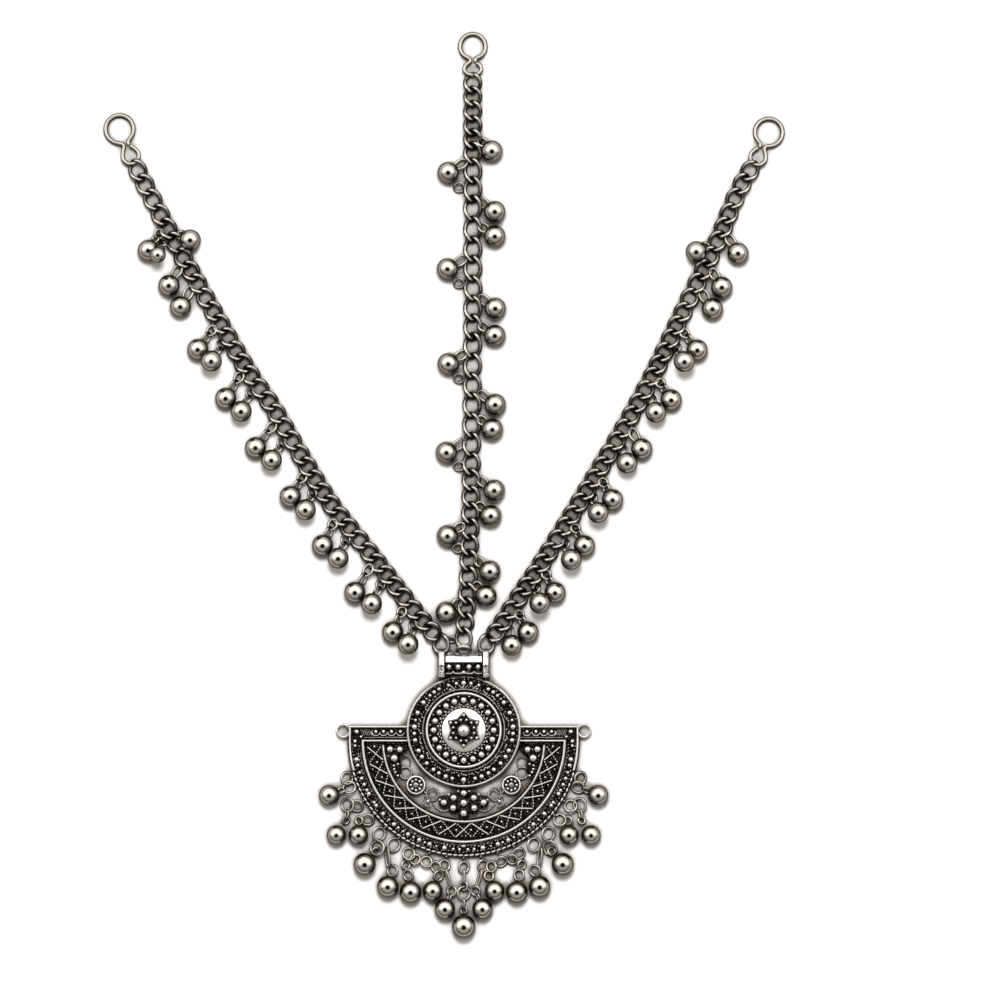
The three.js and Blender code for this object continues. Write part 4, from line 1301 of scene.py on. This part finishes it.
class MATHAPATTI_OT_window(bpy.types.Operator):
    """Fills the window with its scroll rings, flower discs and bead clusters"""

    bl_idname = "matha_patti.window"
    bl_label = "Window work"

    # The cluster's black plate, left half
    CLUSTER = ((-1.9, -15.0), (-1.5, -17.0), (-5.5, -19.4), (-5.5, -20.6), (-1.3, -22.8), (-1.6, -25.2))
    PLATE_TOP = 1.65
    # Beads of one half: across, up and radius, and the small grains beside them
    CLUSTER_BEADS = (
        (0, -17.4, 0.97), (0, -20.1, 1.08), (0, -22.95, 0.97), (-2.8, -18.7, 0.97), (-5.5, -20.0, 0.97),
        (-2.9, -21.5, 0.97),
    )
    CLUSTER_GRAINS = ((-1.5, -16.9), (-4.1, -17.8), (-6.6, -19.3))
    CORNER_BEADS = ((-20.35, -5.3, 0.95), (-17.64, -5.36, 0.95), (-19.16, -7.75, 1.1))
    CORNER_SPECKS = ((-19.0, -5.35), (-20.75, -7.2))
    TRAIL = ((-19.3, -9.8), (-18.2, -9.4), (-19.2, -10.8), (-18.9, -11.7), (-18.2, -12.6))
    # Foot of the beads and of the small grains, and the radius of each kind of small grain
    BEAD_FOOT, GRAIN_FOOT = 1.8, 1.75
    CLUSTER_GRAIN, TRAIL_GRAIN, CORNER_SPECK = 0.35, 0.36, 0.22
    # A bead's seat: how far it stands out, its bevel, and where the bevel starts and ends
    SEAT_RIM, SEAT_BEVEL, SEAT_LOW, SEAT_TOP = 0.45, 0.1, 1.6, 1.7
    # A flower's turned body: radius, height and wear
    FLOWER = (
        (0, 0, 0), (2.5, 0, 0), (2.68, 0.3, 0.2), (2.68, 1.9, 0.4), (2.55, 2.25, 0.7), (2.35, 2.32, 0.9),
        (2.15, 2.2, 0.4), (2.05, 1.8, 0.1), (0.95, 1.7, 0), (0.8, 1.9, 0.25), (0.5, 2.15, 0.4),
        (0, 2.25, 0.45),
    )
    FLOWER_PLACE = (13.2, -15.2)
    # Its petals: count, circle and radius
    PETALS = (8, 1.44, 0.4)
    # Wire rings of the right half: across, up, height, radius, wire and a share that scales down the wire's
    # brightness
    RINGS = (
        (16.06, -11.9, 0.85, 1.65, 0.55, 1.0),
        (16.2, -9.0, 0.85, 1.5, 0.34, 0.55),
        (8.6, -17.8, 0.85, 1.75, 0.5, 1.0),
        (8.35, -17.9, 1.1, 1.3, 0.36, 0.8),
    )
    # Scroll wires of the left half, each a few points that it passes, and the grain among them
    SCROLLS = (
        ((-11.2, -16.7), (-10.7, -17.3), (-10.2, -17.7)),
        ((-10.6, -18.0), (-11.2, -19.2), (-11.1, -20.4), (-10.4, -21.1), (-9.1, -21.2)),
        ((-8.8, -20.3), (-7.4, -21.7), (-5.67, -22.5), (-4.3, -22.2)),
        ((-8.1, -19.5), (-7.3, -18.5), (-6.0, -18.0), (-4.4, -17.8)),
    )
    SCROLL_HEIGHT, SCROLL_RADIUS, SCROLL_STEPS = 0.85, 0.19, 24
    SCROLL_GRAIN, SCROLL_GRAIN_RADIUS, SCROLL_GRAIN_FOOT = (9.87, -19.74), 0.5, 1.0

    def execute(self, context):
        make_cast(
            "window", bead_cluster=self.bead_cluster, corner_beads=self.corner_beads, scrolls=self.scrolls
        )
        return {"FINISHED"}

    def bead_cluster(self, work):
        """The spray of beads below the medallion, on its own black plate."""
        left = np.array(self.CLUSTER)
        add_plate(work, [[*left, *(left[::-1] * (-1, 1))]], 0.0, self.PLATE_TOP)
        low, top = self.SEAT_LOW, self.SEAT_TOP
        for x, y, radius in self.CLUSTER_BEADS:
            seat = radius + self.SEAT_RIM
            profile = ((0, 0, 0), (seat, 0, 0), (seat, low, 0), (seat - self.SEAT_BEVEL, top, 0), (0, top, 0))
            for place in np.unique(both_sides([(x, y)]), axis=0):
                add_lathe(work, profile, place, steps=28)
                add_granules(work, [place], radius, self.BEAD_FOOT)
        add_granules(work, both_sides(self.CLUSTER_GRAINS), self.CLUSTER_GRAIN, self.SEAT_TOP)

    def corner_beads(self, work):
        """Three beads in each upper corner, with a trail of small ones below."""
        for x, y, radius in self.CORNER_BEADS:
            add_granules(work, both_sides([(x, y)]), radius, self.BEAD_FOOT)
        add_granules(work, both_sides(self.TRAIL), self.TRAIL_GRAIN, self.GRAIN_FOOT)
        add_granules(work, both_sides(self.CORNER_SPECKS), self.CORNER_SPECK, self.GRAIN_FOOT, net=SPECK)

    def scrolls(self, work):
        """Wire rings, a flower disc set with granules, and curled wires on each side."""
        petals, circle, petal = self.PETALS
        level = np.full(self.SCROLL_STEPS, self.SCROLL_HEIGHT)
        for side in (-1, 1):
            for x, y, height, radius, wire, shade in self.RINGS:
                add_ring(work, (side * x, y, height), radius, wire, RIGHT, 0.0, shade=shade)
            middle = np.array(self.FLOWER_PLACE) * (side, 1)
            add_lathe(work, self.FLOWER, middle, steps=48)
            add_granules(work, turned(circle, evenly(petals)) + middle, petal, self.BEAD_FOOT)
            grain = np.array(self.SCROLL_GRAIN) * (side, 1)
            add_granules(work, [grain], self.SCROLL_GRAIN_RADIUS, self.SCROLL_GRAIN_FOOT)
            for points in self.SCROLLS:
                path = ChainLine(np.array(points) * (-side, 1)).even(self.SCROLL_STEPS)
                add_wire(work, np.column_stack([path, level]), UP, self.SCROLL_RADIUS, closed=False)


class MATHAPATTI_OT_bail(bpy.types.Operator):
    """Builds the strap bail with its two cheeks, barrel, beads and eye"""

    bl_idname = "matha_patti.bail"
    bl_label = "Bail"

    # The strap: half width, its two ends along, foot and top
    STRAP_WIDE, STRAP_ENDS, STRAP_FOOT, STRAP_TOP = 5.4, (13.4, 19.0), 0.6, 2.2
    # The barrel: half width, and its section as along and height
    BARREL_WIDE = 4.95
    BARREL = (
        (18.7, 0.6), (18.7, 2.6), (18.85, 2.92), (19.6, 2.72), (20.3, 2.48), (20.45, 2.3), (21.4, 2.0),
        (21.4, 0.6),
    )
    # The barrel's brightness, rubbed on its crown and with painted brown shade on its lower back: shares, and
    # the heights between which each grows
    BARREL_WEAR_AND_SHADE = ((0.2, 0.8, 1.9), (0.8, 2.3, 2.48))
    # The row of beads: places across, place along, radius and foot
    BEADS, BEADS_Y, BEAD, BEAD_FOOT = (-4.13, -1.55, 1.48, 4.06), 17.5, 0.8, 2.25
    # The wavy wire: place along, width, foot and top, its bumps (across, height, reach), and the bead on it
    # (across, along), radius and foot
    WAVE_Y, WAVE_WIDE, WAVE_FOOT, WAVE_TOP, WAVE_STEPS = 15.65, 0.46, 2.1, 2.75, 67
    BUMPS = ((2.9, 0.45, 0.32), (0.0, 0.5, 0.45))
    WAVE_BEAD, WAVE_BEAD_RADIUS, WAVE_BEAD_FOOT = (0, 15.95), 0.55, 2.3
    # The upright eye: middle, radius, wire, roll in degrees, and where its brightness by direction starts and
    # is full, its darker flanks being painted shade
    EYE, EYE_RADIUS, EYE_WIRE, EYE_ROLL, EYE_BRIGHT = (0, 22.35, 2.1), 1.95, 0.7, 64, (0.1, 0.8)
    # A cheek: place across, thickness, top, foot along, its round end's middle and reach along, its back as
    # along and height, and its hole's middle along
    CHEEK_X, CHEEK_THICKNESS, CHEEK_TOP, CHEEK_START = 6.15, 1.6, 3.5, 13.4
    CHEEK_END, CHEEK_ROUND = 20.45, 2
    CHEEK_BACK = ((18.0, 3.5), (14.8, 3.1), (13.4, 2.4))
    HOLE_Y = 20.6
    # Its wear: share, and the places along and the heights between which it grows
    CHEEK_WEAR, CHEEK_WEAR_ALONG, CHEEK_WEAR_HEIGHTS = 0.4, (13.2, 18.0), (1.0, 3.2)
    # Sloped ridges on a cheek: start, end, foot and wear
    RIDGES = ((17.9, 21.5, 3.05, 1.0), (14.7, 17.9, 2.95, 0.44))
    # The pin: along, radius, rise over the cheek, and a wear that starts beyond any direction, so it is dark
    PIN_Y, PIN_RADIUS, PIN_RISE, PIN_BRIGHT = 17.8, 0.36, 0.3, (1.5, 2.0)

    def execute(self, context):
        make_cast("bail", strap=self.strap, cheeks=self.cheeks)
        return {"FINISHED"}

    def strap(self, work):
        """The strap with its row of beads and wavy wire, rolled over into a bright barrel with an eye."""
        wide = self.STRAP_WIDE
        start, end = self.STRAP_ENDS
        outline = [(-wide, start), (wide, start), (wide, end), (-wide, end)]
        add_plate(work, [outline], self.STRAP_FOOT, self.STRAP_TOP)
        add_upright(work, [self.BARREL], -self.BARREL_WIDE, self.BARREL_WIDE, self.barrel_wear_and_shade)
        add_granules(work, [(x, self.BEADS_Y) for x in self.BEADS], self.BEAD, self.BEAD_FOOT)
        x = np.linspace(-self.BARREL_WIDE, self.BARREL_WIDE, self.WAVE_STEPS)
        bumps = sum(high * np.exp(-(((np.abs(x) - at) / reach) ** 2)) for at, high, reach in self.BUMPS)
        wave = np.stack([x, self.WAVE_Y + bumps], -1)
        add_strip(work, wave, self.WAVE_WIDE, self.WAVE_FOOT, self.WAVE_TOP)
        add_granules(work, [self.WAVE_BEAD], self.WAVE_BEAD_RADIUS, self.WAVE_BEAD_FOOT)
        roll = math.radians(self.EYE_ROLL)
        sizes_mm = (self.EYE_RADIUS, self.EYE_WIRE)
        add_ring(work, self.EYE, *sizes_mm, RIGHT, roll, steps=32, bright=self.EYE_BRIGHT)

    def barrel_wear_and_shade(self, along, height):
        """The barrel is rubbed on its crown, with painted brown shade behind."""
        return sum(share * ramp(height, low, high) for share, low, high in self.BARREL_WEAR_AND_SHADE)

    def cheek_wear(self, along, height):
        """A cheek is rubbed at its upper end."""
        return self.CHEEK_WEAR * ramp(along, *self.CHEEK_WEAR_ALONG) * ramp(height, *self.CHEEK_WEAR_HEIGHTS)

    def cheeks(self, work):
        """Two upright cheeks, bright at their round end and black at the foot, each with the hole for a side
        chain's last link and a dark pin."""
        half_high = self.CHEEK_TOP / 2
        tip = np.radians(np.linspace(-90, 90, 17))
        outline = [(self.CHEEK_START, 0.0)]
        for a in tip:
            along = self.CHEEK_END + self.CHEEK_ROUND * math.cos(a)
            outline.append((along, half_high * (1 + math.sin(a))))
        outline += self.CHEEK_BACK
        around = np.radians(evenly(24))
        hole = [(self.HOLE_Y + math.cos(a), half_high + math.sin(a)) for a in around]
        for side in (-1, 1):
            middle = side * self.CHEEK_X
            half = self.CHEEK_THICKNESS / 2
            add_upright(work, [outline, hole], middle - half, middle + half, self.cheek_wear)
            for start, end, foot, bright in self.RIDGES:
                ridge = [(middle, start), (middle, end)][::side]
                add_strip(work, ridge, self.CHEEK_THICKNESS, foot, foot + 1, False, bright, SLOPED_SECTION)
            pin = [(middle, self.PIN_Y)]
            add_granules(work, pin, self.PIN_RADIUS, self.CHEEK_TOP + self.PIN_RISE, self.PIN_BRIGHT)


class MATHAPATTI_OT_stage(bpy.types.Operator):
    """Sets the white table, the soft overhead light and the camera that looks straight down"""

    bl_idname = "matha_patti.stage"
    bl_label = "Table, light and camera"

    # The table: half its width and its level, in metres
    TABLE_HALF = 6.0
    TABLE_HEIGHT = -0.2 * MM
    # The picture: its middle, its width, and the height over the table at which it is that wide
    VIEW_MIDDLE = (10.04 * MM, 63.59 * MM)
    VIEW_WIDTH = 276.46 * MM
    FOCUS_HEIGHT = 2.0 * MM
    LENS, SENSOR = 200.0, 36.0
    # How far the painted contact shade reaches on the table from the metal, and how open the table is where
    # that shade is full and ends
    SHADE_REACH = 2.8 * MM
    SHADE_ENDS = (0.5, 0.9)
    # The card's tooth: grain in millimetres, strength and depth
    TOOTH_GRAIN, TOOTH_STRENGTH, TOOTH_DEPTH = 0.6, 0.04, 0.05 * MM
    CARD_ROUGHNESS = 0.85
    # The lamp: place, aim, width and power
    KEY_PLACE = (0.0, 0.42, 0.9)
    KEY_AIM = (0.0, 0.05, 0.0)
    KEY_SIZE = 0.34
    KEY_WATTS = 22.0
    # The sky. A lean is in degrees from overhead to the picture's top. Edges are the angles from there at
    # which the change starts and is full.
    DOME_LEAN = 5
    DOME_EDGES = (88, 48)
    DOME_LIGHT, WALL_LIGHT = 2.2, 0.45
    OPENING_LEAN = -7
    OPENING_EDGES = (30, 20)
    FRONT_LEAN = 90
    FRONT_EDGES = (112, 80)
    FRONT_LIGHT = 0.28

    def execute(self, context):
        scene = context.scene
        table = bpy.data.meshes.new("table")
        half, level = self.TABLE_HALF, self.TABLE_HEIGHT
        corners = [(-half, -half, level), (half, -half, level), (half, half, level), (-half, half, level)]
        table.from_pydata(corners, [], [(0, 1, 2, 3)])
        table.materials.append(self.white_card())
        floor = bpy.data.objects.new("table", table)
        scene.collection.objects.link(floor)

        camera = bpy.data.cameras.new("camera")
        camera.lens = self.LENS
        camera.sensor_width = self.SENSOR
        seen = bpy.data.objects.new("camera", camera)
        seen.location = (*self.VIEW_MIDDLE, self.VIEW_WIDTH * self.LENS / self.SENSOR + self.FOCUS_HEIGHT)
        scene.collection.objects.link(seen)
        scene.camera = seen

        key = bpy.data.lights.new("key", "AREA")
        key.shape = "DISK"
        key.size = self.KEY_SIZE
        key.energy = self.KEY_WATTS
        lamp = bpy.data.objects.new("key", key)
        lamp.location = self.KEY_PLACE
        lamp.rotation_euler = (Vector(self.KEY_AIM) - lamp.location).to_track_quat("-Z", "Y").to_euler()
        lamp.visible_glossy = False
        lamp.visible_camera = False
        scene.collection.objects.link(lamp)

        self.sky(scene)
        scene.view_settings.view_transform = "Standard"
        return {"FINISHED"}

    def white_card(self):
        """Matt white card: pressed paper with a faint tooth, so it throws light back evenly. Close under the
        metal a brown contact shade is painted into its colour."""
        colours = bpy.context.scene.matha_patti_colours
        material, tree = blank_material("white_card")
        place = add_node(tree, "ShaderNodeTexCoord").outputs["Object"]
        tooth = noise(tree, place, self.TOOTH_GRAIN, detail=2.0)
        # Nearness to the metal darkens the card's colour: painted shade
        near = add_node(tree, "ShaderNodeAmbientOcclusion", samples=8, Distance=self.SHADE_REACH)
        tones = (colours.table_painted_shade, colours.table)
        links = {
            "Base Color": two_tones(tree, near.outputs["AO"], *tones, self.SHADE_ENDS),
            "Normal": relief(tree, tooth, self.TOOTH_STRENGTH, self.TOOTH_DEPTH),
        }
        shader = add_node(tree, "ShaderNodeBsdfPrincipled", links, Roughness=self.CARD_ROUGHNESS)
        add_node(tree, "ShaderNodeOutputMaterial", {"Surface": shader.outputs["BSDF"]})
        return material

    def cone(self, tree, view, lean, edges, outside, inside):
        """Light by the angle from a direction that leans lean degrees from overhead to the picture's top."""
        angle = math.radians(lean)
        towards = add_node(tree, "ShaderNodeVectorMath", {0: view}, operation="DOT_PRODUCT")
        towards.inputs[1].default_value = (0.0, math.sin(angle), math.cos(angle))
        cosines = [math.cos(math.radians(edge)) for edge in edges]
        return mapped(tree, towards.outputs["Value"], cosines, (outside, inside))

    def sky(self, scene):
        """A wide soft light overhead, leaning to the top of the picture, with a small dark opening in it and
        dim walls below it."""
        world = bpy.data.worlds.new("soft_light")
        scene.world = world
        world.use_nodes = True
        tree = world.node_tree
        tree.nodes.clear()
        view = add_node(tree, "ShaderNodeTexCoord").outputs["Generated"]
        dome = self.cone(tree, view, self.DOME_LEAN, self.DOME_EDGES, self.WALL_LIGHT, self.DOME_LIGHT)
        opening = self.cone(tree, view, self.OPENING_LEAN, self.OPENING_EDGES, 1.0, 0.0)
        front = self.cone(tree, view, self.FRONT_LEAN, self.FRONT_EDGES, self.FRONT_LIGHT, 1.0)
        strength = dome
        for mask in (opening, front):
            links = {0: strength, 1: mask}
            strength = add_node(tree, "ShaderNodeMath", links, operation="MULTIPLY").outputs["Value"]
        tint = (*bpy.context.scene.matha_patti_colours.light, 1)
        light = add_node(tree, "ShaderNodeBackground", {"Strength": strength}, Color=tint)
        add_node(tree, "ShaderNodeOutputWorld", {"Surface": light.outputs["Background"]})


class MATHAPATTI_PT_panel(bpy.types.Panel):
    """Lists the jewel's sizes, colours and pieces"""

    bl_idname = "MATHAPATTI_PT_panel"
    bl_label = "Matha patti"
    bl_space_type = "VIEW_3D"
    bl_region_type = "UI"
    bl_category = "Matha patti"

    def draw(self, context):
        for group, kind in (
            (context.scene.matha_patti_sizes, MathaPattiSizes),
            (context.scene.matha_patti_colours, MathaPattiColours),
        ):
            box = self.layout.box()
            for key in kind.__annotations__:
                box.prop(group, key)
        for operator in OPERATORS:
            self.layout.operator(operator.bl_idname)


OPERATORS = (
    MATHAPATTI_OT_stage,
    MATHAPATTI_OT_chains,
    MATHAPATTI_OT_chain_balls,
    MATHAPATTI_OT_hooks,
    MATHAPATTI_OT_fringe,
    MATHAPATTI_OT_medallion,
    MATHAPATTI_OT_half_moon,
    MATHAPATTI_OT_window,
    MATHAPATTI_OT_bail,
)
CLASSES = (MathaPattiSizes, MathaPattiColours, *OPERATORS, MATHAPATTI_PT_panel)


def register():
    for kind in CLASSES:
        bpy.utils.register_class(kind)
    bpy.types.Scene.matha_patti_sizes = PointerProperty(type=MathaPattiSizes)
    bpy.types.Scene.matha_patti_colours = PointerProperty(type=MathaPattiColours)


def unregister():
    del bpy.types.Scene.matha_patti_colours
    del bpy.types.Scene.matha_patti_sizes
    for kind in reversed(CLASSES):
        bpy.utils.unregister_class(kind)


def main():
    register()
    bpy.ops.matha_patti.stage()
    bpy.ops.matha_patti.chains()
    bpy.ops.matha_patti.chain_balls()
    bpy.ops.matha_patti.hooks()
    bpy.ops.matha_patti.fringe()
    bpy.ops.matha_patti.medallion()
    bpy.ops.matha_patti.half_moon()
    bpy.ops.matha_patti.window()
    bpy.ops.matha_patti.bail()
    bpy.context.view_layer.update()


if __name__ == "__main__":
    main()
